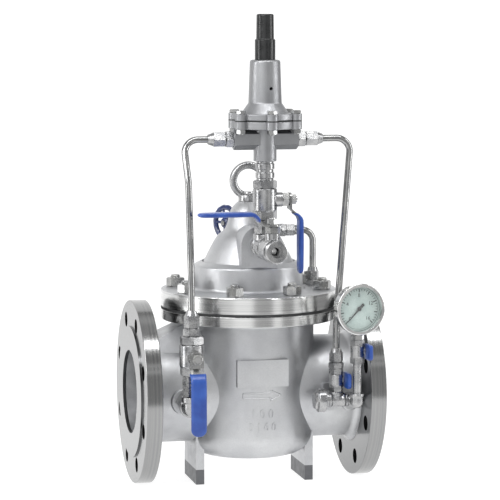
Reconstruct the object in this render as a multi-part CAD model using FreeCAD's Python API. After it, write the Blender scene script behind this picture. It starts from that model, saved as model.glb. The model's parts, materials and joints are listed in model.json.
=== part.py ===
"""Pilot-operated pressure reducing valve, DN 100, PN 16, in stainless steel.

Lengths are in millimetres. The origin is the centre of the inlet flange's bolt circle,
on the flange face behind the raised face, +X is the flow direction and +Z is up. Every
piece is modelled about the valve centre, where the pipe axis crosses the bonnet axis,
and save() moves it to that frame.
"""
import FreeCAD, Part
import math
import os
from FreeCAD import Vector

# ---------------------------------------------------------------- fits and gaps
running_gap = 0.05           # radial gap of a stem or shaft in its bore
thread_gap = 0.05            # radial gap of a screwed or pushed-in joint
bolt_gap = 0.5               # radial gap of a bolt in a drilled hole
free_gap = 0.3               # gap between pieces that move past or close on each other

# ---------------------------------------------------------------- main body
pipe_bore = 100.0
face_to_face = 292.0
flange_diameter = 220.0
flange_thickness = 19.0      # without the raised face
raised_face_diameter = 158.0
raised_face_height = 2.0
flange_pcd = 180.0
flange_holes = 8
flange_hole_diameter = 18.0
neck_radius = 62.0
neck_fillet = 9.0
barrel_radius = 79.0
barrel_wall = 13.0
barrel_bottom = -77.5
barrel_corner = 28.0
body_flange_radius = 106.0
body_flange_bottom = 86.5
body_flange_top = 99.0
web_thickness = 12.0         # bridge wall that carries the seat
web_bottom = 4.0
foot_offset = 67.0
foot_thickness = 10.0
foot_depth = 72.0
foot_bottom = -121.0
pad_width = 62.0             # flat pad for a name plate
pad_height = 32.0
pad_middle = 29.0
pad_proud = 2.0
ramp_start = -125.0          # faceted bridge between inlet neck and body flange
ramp_end = -80.0
ramp_half_width = 36.0
boss_face = 66.0             # take-off bosses on the front of both necks
boss_radius = 15.0
outlet_pad_width = 20.0       # the outlet take-off has a square-cornered pad
outlet_pad_height = 33.0
blind_boss_radius = 10.5
blind_boss_x = 111.0

# ---------------------------------------------------------------- seat and main trim
seat_bore_radius = 38.0
seat_thread_radius = 44.0
seat_flange_radius = 49.0
seat_flange_height = 4.0
seat_lip_height = 2.0
guide_hub_radius = 14.0
stem_radius = 8.0
stem_bottom = -32.0
stem_top = 178.0
disc_radius = 46.0
disc_thickness = 6.0
holder_radius = 50.0
washer_radius = 54.0
washer_thickness = 6.0
diaphragm_thickness = 3.0
stem_nut_size = 24.0
stem_nut_height = 12.0
main_stroke = 25.0
spring_radius = 20.0
spring_wire_radius = 2.5
spring_turns = 8.0

# ---------------------------------------------------------------- cover
cover_flange_height = 20.0
cover_step_radius = 66.0
cover_step_top = 156.0
bell_foot_radius = 54.5
cover_wall = 8.0
cover_top = 227.0
stud_edge = 16.0             # from a stud's axis to the rim of the cover
cover_studs = 8
stud_radius = 6.0
stud_nut_size = 19.0
stud_nut_height = 11.0
stud_end = 4.0
guide_sleeve_radius = 14.0
guide_sleeve_bottom = 160.0
spring_ceiling = 186.0
port_level = 180.0           # height of the control chamber's front port
port_pad_half_width = 22.0
port_pad_face = 62.0
port_boss_radius = 12.5
port_boss_proud = 1.5

# ---------------------------------------------------------------- lifting eye
eye_ring_radius = 18.5
eye_bar_radius = 4.6
eye_centre = 252.0
eye_collar_radius = 12.0
eye_collar_height = 8.0
eye_thread_radius = 5.0
eye_thread_depth = 13.0

# ---------------------------------------------------------------- pipe threads
quarter_radius = 6.6         # G 1/4 thread
eighth_radius = 4.9          # G 1/8 thread
engagement = 8.0
pipe_way_radius = 3.0        # free bore of nipples and small fittings

# ---------------------------------------------------------------- pilot line places
pilot_reach = 90.0           # pilot axis in front of the bonnet axis
tee_arm = 16.0
tee_radius = 12.0
tee_band_radius = 14.0
tee_band = 7.0
tee_nipple_gap = 17.0
tee_nipple_size = 22.0
riser_gap = 22.0

# ---------------------------------------------------------------- lever cocks
cock_length = 46.0
cock_hex_size = 25.0
cock_hex_length = 10.0
cock_body_radius = 14.25
cock_ball_radius = 9.0
cock_way_radius = 5.0
cock_stem_radius = 3.5
cock_boss_radius = 8.5
cock_boss_top = 20.0
gland_size = 15.0
gland_height = 8.0
lever_width = 16.0
lever_thickness = 2.5
lever_reach = 84.0
lever_jog_start = 11.0
lever_jog_end = 22.0
lever_jog = 13.0
grip_start = 16.0
grip_reach = 88.0
grip_width = 19.0
grip_thickness = 6.0
lever_nut_size = 11.0
lever_nut_height = 6.0

# ---------------------------------------------------------------- mini cocks
mini_length = 28.0
mini_hex_size = 15.0
mini_hex_length = 7.0
mini_body_radius = 8.0
mini_ball_radius = 6.0
mini_way_radius = 3.0
mini_stem_radius = 2.0
mini_handle_reach = 20.0
mini_handle_width = 18.0
mini_handle_thickness = 4.5
mini_handle_hub = 9.0
mini_boss_radius = 4.0
mini_gland_size = 7.5

# ---------------------------------------------------------------- take-off columns
takeoff_level = -4.0
inlet_column_x = -92.0
inlet_column_y = -112.0
inlet_cock_level = 58.0
outlet_column_x = 87.0
outlet_column_y = -88.0
cross_arm = 10.0
cross_radius = 8.0
cross_band_radius = 9.0
elbow_arm = 14.0
gauge_column_x = 107.5
gauge_elbow_arm = 10.0
gauge_cock_level = 56.0
plug_length = 17.0
plug_radius = 14.0

# ---------------------------------------------------------------- tubes
tube_radius = 4.0
tube_wall = 1.0
tube_bend = 16.0
tube_side_reach = 97.0       # how far the inlet tube stands out beside the pilot
outlet_tube_side_reach = 103.0
bleed_radius = 4.0
bleed_bend = 14.0
bleed_y = 12.0
bleed_level = 190.0
bleed_side_reach = 83.0
bleed_boss_reach = 42.0
bleed_fitting_size = 15.0
bleed_fitting_length = 22.0
mini_fitting_size = 16.0
mini_fitting_length = 24.0
pilot_fitting_size = 18.0
pilot_fitting_length = 30.0
tube_slant_drop = 50.0       # the inlet tube starts to slant this far below the pilot ports
tube_straight = 30.0         # straight run of the inlet tube above its cock
outlet_tube_corner = 66.0    # bend of the outlet tube above its cock

# ---------------------------------------------------------------- pilot valve
pilot_barrel_radius = 13.5
pilot_barrel_height = 38.0
pilot_port_above = 26.0      # port axis above the pilot's foot
pilot_port_size = 22.0
pilot_port_reach = 38.5
pilot_flange_radius = 36.0
pilot_lower_flange = 9.0
pilot_upper_flange = 7.5
pilot_bolt_circle = 37.5
pilot_bolts_count = 6
pilot_bolt_radius = 3.0
pilot_lug_radius = 7.0
pilot_diaphragm_thickness = 1.5
pilot_recess_radius = 24.0
pilot_stroke = 2.5
pilot_plate = 2.0            # disc on the plunger under the diaphragm
plunger_radius = 2.5
poppet_radius = 6.0
poppet_height = 4.0
pilot_seat_radius = 4.0
pilot_chamber_radius = 8.0
pilot_web = 4.0
housing_cone_height = 12.0
housing_top_radius = 17.75
housing_foot_radius = 19.5
housing_height = 50.0        # above the cone
housing_inner_radius = 13.0
housing_roof = 8.0
housing_vent_radius = 2.0
pilot_spring_radius = 9.0
pilot_spring_wire = 1.75
pilot_spring_turns = 9.0
button_height = 5.0
screw_radius = 5.0
screw_length = 58.0
locknut_size = 17.0
locknut_height = 7.0
cap_skirt_radius = 12.0
cap_skirt_height = 23.0
cap_top_radius = 10.0
cap_height = 53.0
cap_wall = 1.6

# ---------------------------------------------------------------- needle bleed valve
needle_x = 10.0
needle_y = 72.0
needle_level = 196.0
needle_body_size = 18.0
needle_body_half = 11.0
needle_stem_radius = 3.0
wheel_distance = 29.0
wheel_radius = 19.0
wheel_rim_radius = 3.0
wheel_spokes = 5

# ---------------------------------------------------------------- pressure gauge
gauge_radius = 29.0
gauge_bezel_radius = 30.5
gauge_back = -7.0
gauge_front = 8.0
gauge_wall = 1.6
gauge_yaw = 9.0
gauge_centre_level = 107.0
gauge_shank_size = 14.0
gauge_neck_radius = 3.7        # passes behind the bezel and the dial
gauge_glass = 2.0
dial_level = 4.0
dial_thickness = 0.8
pointer_length = 21.0
pointer_zero = 225.0

# ---------------------------------------------------------------- heights that follow
half_length = face_to_face / 2
pilot_recess_depth = pilot_plate + pilot_stroke + 0.5
origin_shift = half_length - raised_face_height
cover_stud_circle = body_flange_radius - stud_edge
bore_radius = pipe_bore / 2
web_top = web_bottom + web_thickness
seat_level = web_top + seat_flange_height + seat_lip_height
disc_bottom = seat_level + free_gap
disc_top = disc_bottom + disc_thickness
cover_bottom = body_flange_top + diaphragm_thickness
cover_flange_top = cover_bottom + cover_flange_height
washer_top = cover_bottom + washer_thickness
tee_top = port_level + tee_arm
pilot_cock_level = tee_top + tee_nipple_gap + cock_length / 2
pilot_foot = pilot_cock_level + cock_length / 2 + riser_gap
pilot_port_level = pilot_foot + pilot_port_above
pilot_joint = pilot_foot + pilot_barrel_height + pilot_lower_flange
pilot_upper_start = pilot_joint + pilot_diaphragm_thickness
housing_foot = pilot_upper_start + pilot_upper_flange
housing_cone_top = housing_foot + housing_cone_height
housing_top = housing_cone_top + housing_height
vent_cock_y = -(pilot_reach + tee_arm + cock_length / 2)
pilot_bolt_angle = 180 / pilot_bolts_count
gauge_column_y = outlet_column_y - 2 * gauge_elbow_arm
mini_handle_start = mini_fitting_size / 2 / math.cos(math.pi / 6) + 2 * free_gap
mini_gland_height = mini_handle_start - mini_body_radius - free_gap
return_cock_level = takeoff_level + cross_arm + mini_length / 2
lever_seat = cock_boss_top + gland_height + free_gap

ORIGIN = Vector(0, 0, 0)
X_AXIS = Vector(1, 0, 0)
Y_AXIS = Vector(0, 1, 0)
Z_AXIS = Vector(0, 0, 1)


# ================================================================ shape helpers
def moved(shape, x=0, y=0, z=0):
    """A copy of the shape at another place."""
    copy = shape.copy()
    copy.translate(Vector(x, y, z))
    return copy


def placed(shape, origin, z_direction=Z_AXIS, x_direction=None):
    """A copy whose own Z and X axes point along the two directions given."""
    if x_direction is None:
        x_direction = Y_AXIS if abs(z_direction.dot(X_AXIS)) > 0.9 else X_AXIS
    y_direction = z_direction.cross(x_direction)
    turn = FreeCAD.Rotation(x_direction, y_direction, z_direction, "ZXY")
    copy = shape.copy()
    copy.Placement = FreeCAD.Placement(origin, turn).multiply(copy.Placement)
    return copy


def spun(shape, degrees, axis=Z_AXIS):
    """A copy turned about an axis through the origin."""
    copy = shape.copy()
    copy.rotate(ORIGIN, axis, degrees)
    return copy


def rounded_wire(corners, closed=True):
    """Straight runs through (point, radius) corners, each corner rounded by its radius."""
    count = len(corners)
    starts = []
    ends = []
    arcs = []
    for index, (point, radius) in enumerate(corners):
        end_of_open_path = not closed and index in (0, count - 1)
        if radius == 0 or end_of_open_path:
            starts.append(point)
            ends.append(point)
            arcs.append(None)
            continue
        back = (corners[index - 1][0] - point).normalize()
        onward = (corners[(index + 1) % count][0] - point).normalize()
        half_angle = back.getAngle(onward) / 2
        reach = radius / math.tan(half_angle)
        inward = (back + onward).normalize()
        middle = point + inward * (radius / math.sin(half_angle) - radius)
        starts.append(point + back * reach)
        ends.append(point + onward * reach)
        arcs.append(Part.Arc(starts[-1], middle, ends[-1]).toShape())
    edges = []
    for index in range(count):
        if arcs[index]:
            edges.append(arcs[index])
        following = (index + 1) % count
        last_of_open_path = not closed and index == count - 1
        if not last_of_open_path and ends[index].distanceToPoint(starts[following]) > 1e-6:
            edges.append(Part.LineSegment(ends[index], starts[following]).toShape())
    return Part.Wire(edges)


def turned(points):
    """Solid turned about Z from (radius, height) or (radius, height, rounding) points."""
    corners = [(Vector(p[0], 0, p[1]), p[2] if len(p) > 2 else 0) for p in points]
    return Part.Face(rounded_wire(corners)).revolve(ORIGIN, Z_AXIS, 360)


def rod(radius, low, high):
    """Cylinder about Z between two heights."""
    return Part.makeCylinder(radius, high - low, Vector(0, 0, low))


def sleeve(outer, inner, low, high):
    """Tube about Z between two heights."""
    return rod(outer, low, high).cut(rod(inner, low - 1, high + 1))


def block(x_size, y_size, low, high):
    """Box about Z between two heights."""
    return Part.makeBox(x_size, y_size, high - low, Vector(-x_size / 2, -y_size / 2, low))


def hexagon(size, low, high, hole=0):
    """Hexagon bar about Z, measured across its flats, with both ends chamfered."""
    corner = size / math.sqrt(3)
    points = [Vector(corner * math.cos(math.radians(a)), corner * math.sin(math.radians(a)), low)
              for a in range(0, 361, 60)]
    bar = Part.Face(Part.makePolygon(points)).extrude(Vector(0, 0, high - low))
    face_radius = size / 2 * 0.96
    chamfer = min((corner - face_radius) * 0.6, (high - low) / 3)
    crown = turned([(0, low), (face_radius, low), (corner, low + chamfer),
                    (corner, high - chamfer), (face_radius, high), (0, high)])
    bar = bar.common(crown)
    if hole:
        bar = bar.cut(rod(hole, low - 1, high + 1))
    return bar


def around(shape, count, first_angle):
    """Copies of a shape evenly spaced about Z."""
    return [spun(shape, first_angle + 360 / count * index) for index in range(count)]


def joined(shapes):
    """One solid from overlapping shapes."""
    shapes = list(shapes)
    return shapes[0].multiFuse(shapes[1:]).removeSplitter()


def group(shapes):
    """Separate solids kept in one node."""
    return Part.makeCompound(list(shapes))


def coil_spring(mean_radius, wire_radius, low, high, turns):
    """Round wire wound about Z, resting on both heights."""
    rise = high - low - 2 * wire_radius
    helix = Part.makeHelix(rise / turns, rise, mean_radius)
    section = Part.Wire(Part.makeCircle(wire_radius, Vector(mean_radius, 0, 0), Y_AXIS))
    wire = Part.Wire(helix.Edges).makePipeShell([section], True, True)
    return moved(wire, z=low + wire_radius)


def bent_tube(points, bends, outer, inner):
    """Tube along straight runs, with one bend radius for each inner corner."""
    radii = [0] + list(bends) + [0]
    path = rounded_wire(list(zip(points, radii)), closed=False)
    start = points[0]
    direction = (points[1] - points[0]).normalize()
    solids = []
    for radius in (outer, inner):
        section = Part.Wire(Part.makeCircle(radius, start, direction))
        solids.append(path.makePipeShell([section], True, False))
    return solids[0].cut(solids[1])


def nipple(gap, thread_radius, way_radius, size=0):
    """Pipe piece about Z: threads go below 0 and above the gap, a hexagon fills the gap."""
    piece = rod(thread_radius, -engagement, gap + engagement)
    if size:
        piece = joined([piece, hexagon(size, 0, gap)])
    return piece.cut(rod(way_radius, -engagement - 1, gap + engagement + 1))


def socket_hole(thread_radius, way_radius, depth):
    """Cutting shape of a tapped port whose mouth is at 0 and which goes down to -depth."""
    return joined([rod(thread_radius + thread_gap, -engagement - free_gap, 1),
                   rod(way_radius, -depth, 0)])


def tube_fitting(thread_radius, pipe_radius, size, length):
    """Connector and nut about Z on a port at 0, and the height where the tube starts."""
    hex_top = length * 0.3
    nose_top = length * 0.6
    tube_start = length * 0.35
    nose_radius = size * 0.33
    nut_size = size * 0.9
    connector = joined([rod(thread_radius, -engagement, 0), hexagon(size, 0, hex_top),
                        rod(nose_radius, 0, nose_top)])
    connector = connector.cut(rod(pipe_radius - tube_wall, -engagement - 1, nose_top + 1))
    connector = connector.cut(rod(pipe_radius + thread_gap, tube_start, nose_top + 1))
    nut_foot = hex_top + 0.5
    nut_shoulder = length * 0.8
    tail = turned([(0, nut_foot), (nut_size * 0.48, nut_foot), (nut_size * 0.48, nut_shoulder),
                   (pipe_radius + 1.6, length), (0, length)])
    nut = joined([hexagon(nut_size, nut_foot, nut_shoulder), tail])
    nut = nut.cut(rod(pipe_radius + thread_gap, nut_foot - 1, length + 1))
    nut = nut.cut(rod(nose_radius + thread_gap, nut_foot - 1, nose_top + free_gap))
    return connector, nut, tube_start


# ================================================================ main body and trim
def flanged_neck():
    """One pipe flange with its neck, from the flange face at 0 to the valve centre."""
    back = raised_face_height + flange_thickness
    neck = turned([(0, 0), (raised_face_diameter / 2, 0),
                   (raised_face_diameter / 2, raised_face_height),
                   (flange_diameter / 2, raised_face_height, 1),
                   (flange_diameter / 2, back, 1), (neck_radius, back, neck_fillet),
                   (neck_radius, half_length), (0, half_length)])
    hole = moved(rod(flange_hole_diameter / 2, -1, back + 1), x=flange_pcd / 2)
    for drill in around(hole, flange_holes, 180 / flange_holes):
        neck = neck.cut(drill)
    return neck


def front_boss(x, level, radius, face):
    """Round boss on the front of a neck, out to a flat face."""
    return placed(turned([(0, 0), (radius + 2, 0), (radius, face - bore_radius, 1.5),
                          (0, face - bore_radius)]),
                  Vector(x, -bore_radius, level), -Y_AXIS)


def front_pad(x, level, width, height, face):
    """Square-cornered pad on the front of a neck, out to a flat face."""
    pad = block(width, height, 0, face - bore_radius)
    return placed(pad, Vector(x, -bore_radius, level), -Y_AXIS, X_AXIS)


def ramp():
    """Faceted rise of the casting from the inlet neck to the body flange."""
    low = neck_radius * 0.6
    side = [Vector(ramp_start, 0, low), Vector(ramp_end, 0, low),
            Vector(ramp_end + 20, 0, low), Vector(ramp_end + 20, 0, body_flange_bottom + 1),
            Vector(ramp_end, 0, body_flange_bottom - 2), Vector(ramp_start, 0, neck_radius)]
    solid = Part.Face(Part.makePolygon(side + side[:1])).extrude(Y_AXIS * 2 * ramp_half_width)
    solid = moved(solid, y=-ramp_half_width)
    roof = [Vector(ramp_start - 1, -ramp_half_width - 1, body_flange_bottom + 2),
            Vector(ramp_start - 1, -ramp_half_width - 1, low + 12),
            Vector(ramp_start - 1, -ramp_half_width * 0.45, body_flange_bottom + 2)]
    bevel = Part.Face(Part.makePolygon(roof + roof[:1])).extrude(X_AXIS * 80)
    return solid.cut(bevel).cut(bevel.mirror(ORIGIN, Y_AXIS))


def outer_casting():
    """Barrel and flanged necks of the body, all solid."""
    barrel = turned([(0, barrel_bottom), (barrel_radius, barrel_bottom, barrel_corner),
                     (barrel_radius, body_flange_bottom, 5),
                     (body_flange_radius, body_flange_bottom, 1),
                     (body_flange_radius, body_flange_top, 0.6), (0, body_flange_top)])
    inlet_neck = placed(flanged_neck(), Vector(-half_length, 0, 0), X_AXIS)
    outlet_neck = placed(flanged_neck(), Vector(half_length, 0, 0), -X_AXIS)
    return [barrel, inlet_neck, outlet_neck]


def make_feet():
    """Two foot plates, shaped to the underside of the casting they are welded to."""
    casting = outer_casting()
    feet = []
    for side in (-1, 1):
        foot = moved(block(foot_thickness, foot_depth, foot_bottom, -barrel_radius * 0.6),
                     x=side * foot_offset)
        for solid in casting:
            foot = foot.cut(solid)
        feet.append(foot)
    return group(feet)


def make_main_body():
    """Body casting: barrel, necks, flanges, bosses and the bridge wall inside."""
    drain_boss = rod(12, barrel_bottom - 2, barrel_bottom + 5)
    plate_pad = Part.makeBox(pad_width, 20, pad_height,
                             Vector(-pad_width / 2, -barrel_radius - pad_proud,
                                    pad_middle - pad_height / 2))
    bosses = [front_boss(inlet_column_x, takeoff_level, boss_radius, boss_face),
              front_pad(outlet_column_x, takeoff_level, outlet_pad_width, outlet_pad_height,
                        boss_face),
              front_boss(blind_boss_x, takeoff_level - 7, blind_boss_radius, boss_face)]
    body = joined(outer_casting() + [drain_boss, ramp(), plate_pad] + bosses)

    inner_radius = barrel_radius - barrel_wall
    cavity = turned([(0, barrel_bottom + barrel_wall),
                     (inner_radius, barrel_bottom + barrel_wall, barrel_corner - 8),
                     (inner_radius, body_flange_top + 1), (0, body_flange_top + 1)])
    web = rod(inner_radius + 3, web_bottom, web_top)
    body = body.cut(cavity.cut(web))
    bore_end = half_length - barrel_radius + 7
    long_way = placed(rod(bore_radius, -1, half_length - 40), Vector(-half_length, 0, 0), X_AXIS)
    under_web = moved(block(200, 200, -100, web_bottom), x=-100)
    over_web = moved(block(200, 200, web_top, 100), x=100)
    short_way = placed(rod(bore_radius, -1, bore_end), Vector(-half_length, 0, 0), X_AXIS)
    body = body.cut(short_way).cut(long_way.common(under_web))
    body = body.cut(short_way.mirror(ORIGIN, X_AXIS))
    body = body.cut(long_way.mirror(ORIGIN, X_AXIS).common(over_web))
    body = body.cut(rod(seat_thread_radius + thread_gap, web_bottom - 1, web_top + 1))
    stud_hole = moved(rod(stud_radius + thread_gap, body_flange_bottom - 1, body_flange_top + 1),
                      x=cover_stud_circle)
    for drill in around(stud_hole, cover_studs, 180 / cover_studs):
        body = body.cut(drill)
    tapped = socket_hole(quarter_radius, pipe_way_radius, boss_face - bore_radius + 6)
    for x in (inlet_column_x, outlet_column_x):
        body = body.cut(placed(tapped, Vector(x, -boss_face, takeoff_level), -Y_AXIS))
    return body


def make_seat_ring():
    """Screwed seat with a raised lip and a three-armed guide for the stem."""
    ring = turned([(seat_bore_radius, web_bottom), (seat_thread_radius, web_bottom),
                   (seat_thread_radius, web_top), (seat_flange_radius, web_top),
                   (seat_flange_radius, web_top + seat_flange_height),
                   (seat_bore_radius + 4, web_top + seat_flange_height),
                   (seat_bore_radius + 3, seat_level), (seat_bore_radius, seat_level)])
    hub = rod(guide_hub_radius, web_bottom - 8, web_bottom + 6)
    arm = moved(block(seat_bore_radius + 2, 6, web_bottom, web_bottom + 5),
                x=(seat_bore_radius + 2) / 2)
    spider = joined([hub] + around(arm, 3, 90))
    ring = joined([ring, spider])
    return ring.cut(rod(stem_radius + running_gap, web_bottom - 9, web_top))


def make_main_trim():
    """Stem, disc, holder, washer and nut that lift together."""
    collar_radius = seat_bore_radius - 4
    stem = joined([turned([(0, stem_bottom), (stem_radius, stem_bottom, 1),
                           (stem_radius, stem_top, 1), (0, stem_top)]),
                   rod(collar_radius, disc_bottom - 5, disc_bottom)])
    disc = sleeve(disc_radius, stem_radius + thread_gap, disc_bottom, disc_top)
    hub_radius = 22.0
    rim_bottom = disc_bottom + disc_thickness / 2
    holder = turned([(stem_radius + thread_gap, disc_top), (disc_radius + thread_gap, disc_top),
                     (disc_radius + thread_gap, rim_bottom), (holder_radius, rim_bottom),
                     (holder_radius, disc_top + 10, 2), (hub_radius, disc_top + 16, 3),
                     (hub_radius, body_flange_top - washer_thickness - 6, 3),
                     (washer_radius, body_flange_top - washer_thickness, 2),
                     (washer_radius, body_flange_top),
                     (stem_radius + thread_gap, body_flange_top)])
    washer = turned([(stem_radius + thread_gap, cover_bottom), (washer_radius, cover_bottom),
                     (washer_radius, washer_top, 2), (stem_radius + thread_gap, washer_top)])
    nut = hexagon(stem_nut_size, washer_top, washer_top + stem_nut_height,
                  stem_radius + thread_gap)
    return {"main_stem": stem, "valve_disc": disc, "disc_holder": holder,
            "diaphragm_plate": washer, "stem_nut": nut}


def make_main_diaphragm():
    """Flat rubber diaphragm clamped between body and cover."""
    sheet = sleeve(body_flange_radius, stem_radius + thread_gap, body_flange_top, cover_bottom)
    hole = moved(rod(stud_radius + bolt_gap, body_flange_top - 1, cover_bottom + 1),
                 x=cover_stud_circle)
    for drill in around(hole, cover_studs, 180 / cover_studs):
        sheet = sheet.cut(drill)
    return sheet


def bell_solid(inset, top):
    """Bell of the cover: its outer wall curve moved inwards by the inset, flat at the top."""
    foot = cover_step_top - 2
    wall = [(bell_foot_radius, foot), (51.0, foot + 7), (45.0, foot + 19), (40.5, foot + 27),
            (36.0, foot + 33), (30.0, foot + 38), (26.0, foot + 45), (23.5, foot + 55),
            (20.4, foot + 64), (16.6, foot + 69), (12.0, cover_top)]
    curve = Part.BSplineCurve()
    curve.interpolate([Vector(radius - inset, 0, height) for radius, height in wall
                       if radius - inset > 2])
    tip = curve.value(curve.LastParameter)
    edges = [Part.LineSegment(Vector(0, 0, foot), Vector(bell_foot_radius - inset, 0, foot)).toShape(),
             curve.toShape(),
             Part.LineSegment(tip, Vector(0, 0, tip.z)).toShape(),
             Part.LineSegment(Vector(0, 0, tip.z), Vector(0, 0, foot)).toShape()]
    solid = Part.Face(Part.Wire(edges)).revolve(ORIGIN, Z_AXIS, 360)
    return solid.common(rod(200, foot - 1, top))


def make_cover():
    """Cover casting: bolting flange, step, bell, port pad and the stem's guide sleeve."""
    base = turned([(0, cover_bottom), (body_flange_radius, cover_bottom, 0.6),
                   (body_flange_radius, cover_flange_top, 1.5),
                   (cover_step_radius, cover_flange_top, 4),
                   (cover_step_radius, cover_step_top - 5, 3), (bell_foot_radius + 1.5, cover_step_top, 1),
                   (bell_foot_radius + 1.5, cover_step_top - 3), (0, cover_step_top - 3)])
    pad_points = [(Vector(-port_pad_half_width, 0, cover_step_top - 4), 0),
                  (Vector(port_pad_half_width, 0, cover_step_top - 4), 0),
                  (Vector(port_pad_half_width, 0, port_level + port_pad_half_width),
                   port_pad_half_width * 0.999),
                  (Vector(-port_pad_half_width, 0, port_level + port_pad_half_width),
                   port_pad_half_width * 0.999)]
    pad = Part.Face(rounded_wire(pad_points)).extrude(-Y_AXIS * port_pad_face)
    port_boss = placed(rod(port_boss_radius, 0, port_pad_face + port_boss_proud),
                       Vector(0, 0, port_level), -Y_AXIS)
    bleed_boss = placed(rod(7.5, 0, bleed_boss_reach), Vector(0, bleed_y, bleed_level), X_AXIS)
    needle_boss = placed(rod(8, 0, 33), Vector(needle_x, 0, needle_level), Y_AXIS)
    cover = joined([base, bell_solid(0, cover_top + 1), pad, port_boss, bleed_boss, needle_boss])

    step_inner = cover_step_radius - cover_wall
    hollow = joined([rod(step_inner, cover_bottom - 1, cover_step_top - 8),
                     rod(bell_foot_radius - cover_wall, cover_bottom, cover_step_top),
                     bell_solid(cover_wall, spring_ceiling)])
    guide = rod(guide_sleeve_radius, guide_sleeve_bottom, spring_ceiling + 1)
    cover = cover.cut(hollow.cut(guide))
    eye_hole_floor = cover_top - eye_thread_depth - free_gap
    cover = cover.cut(rod(stem_radius + running_gap, guide_sleeve_bottom - 1,
                          min(stem_top + main_stroke + 4, eye_hole_floor - 2)))
    cover = cover.cut(rod(eye_thread_radius + thread_gap, eye_hole_floor, cover_top + 1))
    stud_hole = moved(rod(stud_radius + bolt_gap, cover_bottom - 1, cover_flange_top + 1),
                      x=cover_stud_circle)
    for drill in around(stud_hole, cover_studs, 180 / cover_studs):
        cover = cover.cut(drill)
    front_face = port_pad_face + port_boss_proud
    cover = cover.cut(placed(socket_hole(quarter_radius, pipe_way_radius, front_face - 30),
                             Vector(0, -front_face, port_level), -Y_AXIS))
    cover = cover.cut(placed(socket_hole(eighth_radius, 2, bleed_boss_reach - 15),
                             Vector(bleed_boss_reach, bleed_y, bleed_level), X_AXIS))
    cover = cover.cut(placed(socket_hole(eighth_radius, 2, 20),
                             Vector(needle_x, 33, needle_level), Y_AXIS))
    bleed_return = socket_hole(eighth_radius, 2, engagement + 4)
    return cover.cut(moved(bleed_return, x=bleed_side_reach, y=bleed_y, z=cover_flange_top))


def make_cover_fasteners():
    """Studs and nuts of the cover joint."""
    stud_top = cover_flange_top + stud_nut_height + stud_end
    stud = turned([(0, body_flange_bottom), (stud_radius, body_flange_bottom, 0.8),
                   (stud_radius, stud_top, 1.2), (0, stud_top)])
    nut = hexagon(stud_nut_size, cover_flange_top, cover_flange_top + stud_nut_height,
                  stud_radius + thread_gap)
    pieces = []
    for piece in (stud, nut):
        pieces += around(moved(piece, x=cover_stud_circle), cover_studs, 180 / cover_studs)
    return group(pieces)


def make_lifting_eye():
    """Ring, collar and thread of the lifting eye on top of the cover."""
    ring = Part.makeTorus(eye_ring_radius, eye_bar_radius, Vector(0, 0, eye_centre), Y_AXIS)
    collar = turned([(0, cover_top), (eye_collar_radius, cover_top, 1.5),
                     (eye_collar_radius, cover_top + eye_collar_height, 3),
                     (0, cover_top + eye_collar_height)])
    thread = rod(eye_thread_radius, cover_top - eye_thread_depth, cover_top)
    return joined([ring, collar, thread])


# ================================================================ ball cocks
def cock_shapes(length, hex_size, hex_length, body_radius, ball_radius, way_radius,
                spindle_radius, spindle_boss_radius, boss_top, gland, gland_length,
                stem_end, thread_radius):
    """Body, end cap, gland nut and ball of a cock: its way is along Z, its stem along X."""
    half = length / 2
    shoulder = half - hex_length
    pocket = ball_radius + free_gap
    stem_boss = placed(rod(spindle_boss_radius, 0, boss_top), ORIGIN, X_AXIS)
    barrel = turned([(0, -shoulder - 1), (body_radius * 0.9, -shoulder - 1),
                     (body_radius, -shoulder + 1, 1), (body_radius, shoulder, 0.8),
                     (0, shoulder)])
    body = joined([hexagon(hex_size, -half, -shoulder + 1), barrel, stem_boss])
    body = body.cut(rod(pocket, -pocket, half))
    body = body.cut(rod(way_radius, -half - 1, 0))
    body = body.cut(rod(thread_radius + thread_gap, -half - 1, -half + engagement + free_gap))
    stem_hole = rod(spindle_radius + running_gap, 0, boss_top + 1)
    body = body.cut(placed(stem_hole, ORIGIN, X_AXIS))
    spigot = rod(pocket - thread_gap, ball_radius + 2 * free_gap, shoulder + 1)
    cap = joined([hexagon(hex_size, shoulder, half), spigot])
    cap = cap.cut(rod(way_radius, 0, half + 1))
    cap = cap.cut(rod(thread_radius + thread_gap, half - engagement - free_gap, half + 1))
    packing_nut = placed(hexagon(gland, boss_top, boss_top + gland_length,
                                 spindle_radius + running_gap), ORIGIN, X_AXIS)
    ball = Part.makeSphere(ball_radius).cut(rod(way_radius, -ball_radius - 1, ball_radius + 1))
    stem = placed(rod(spindle_radius, ball_radius - 1.5, stem_end), ORIGIN, X_AXIS)
    return body, cap, packing_nut, joined([ball, stem])


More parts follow.
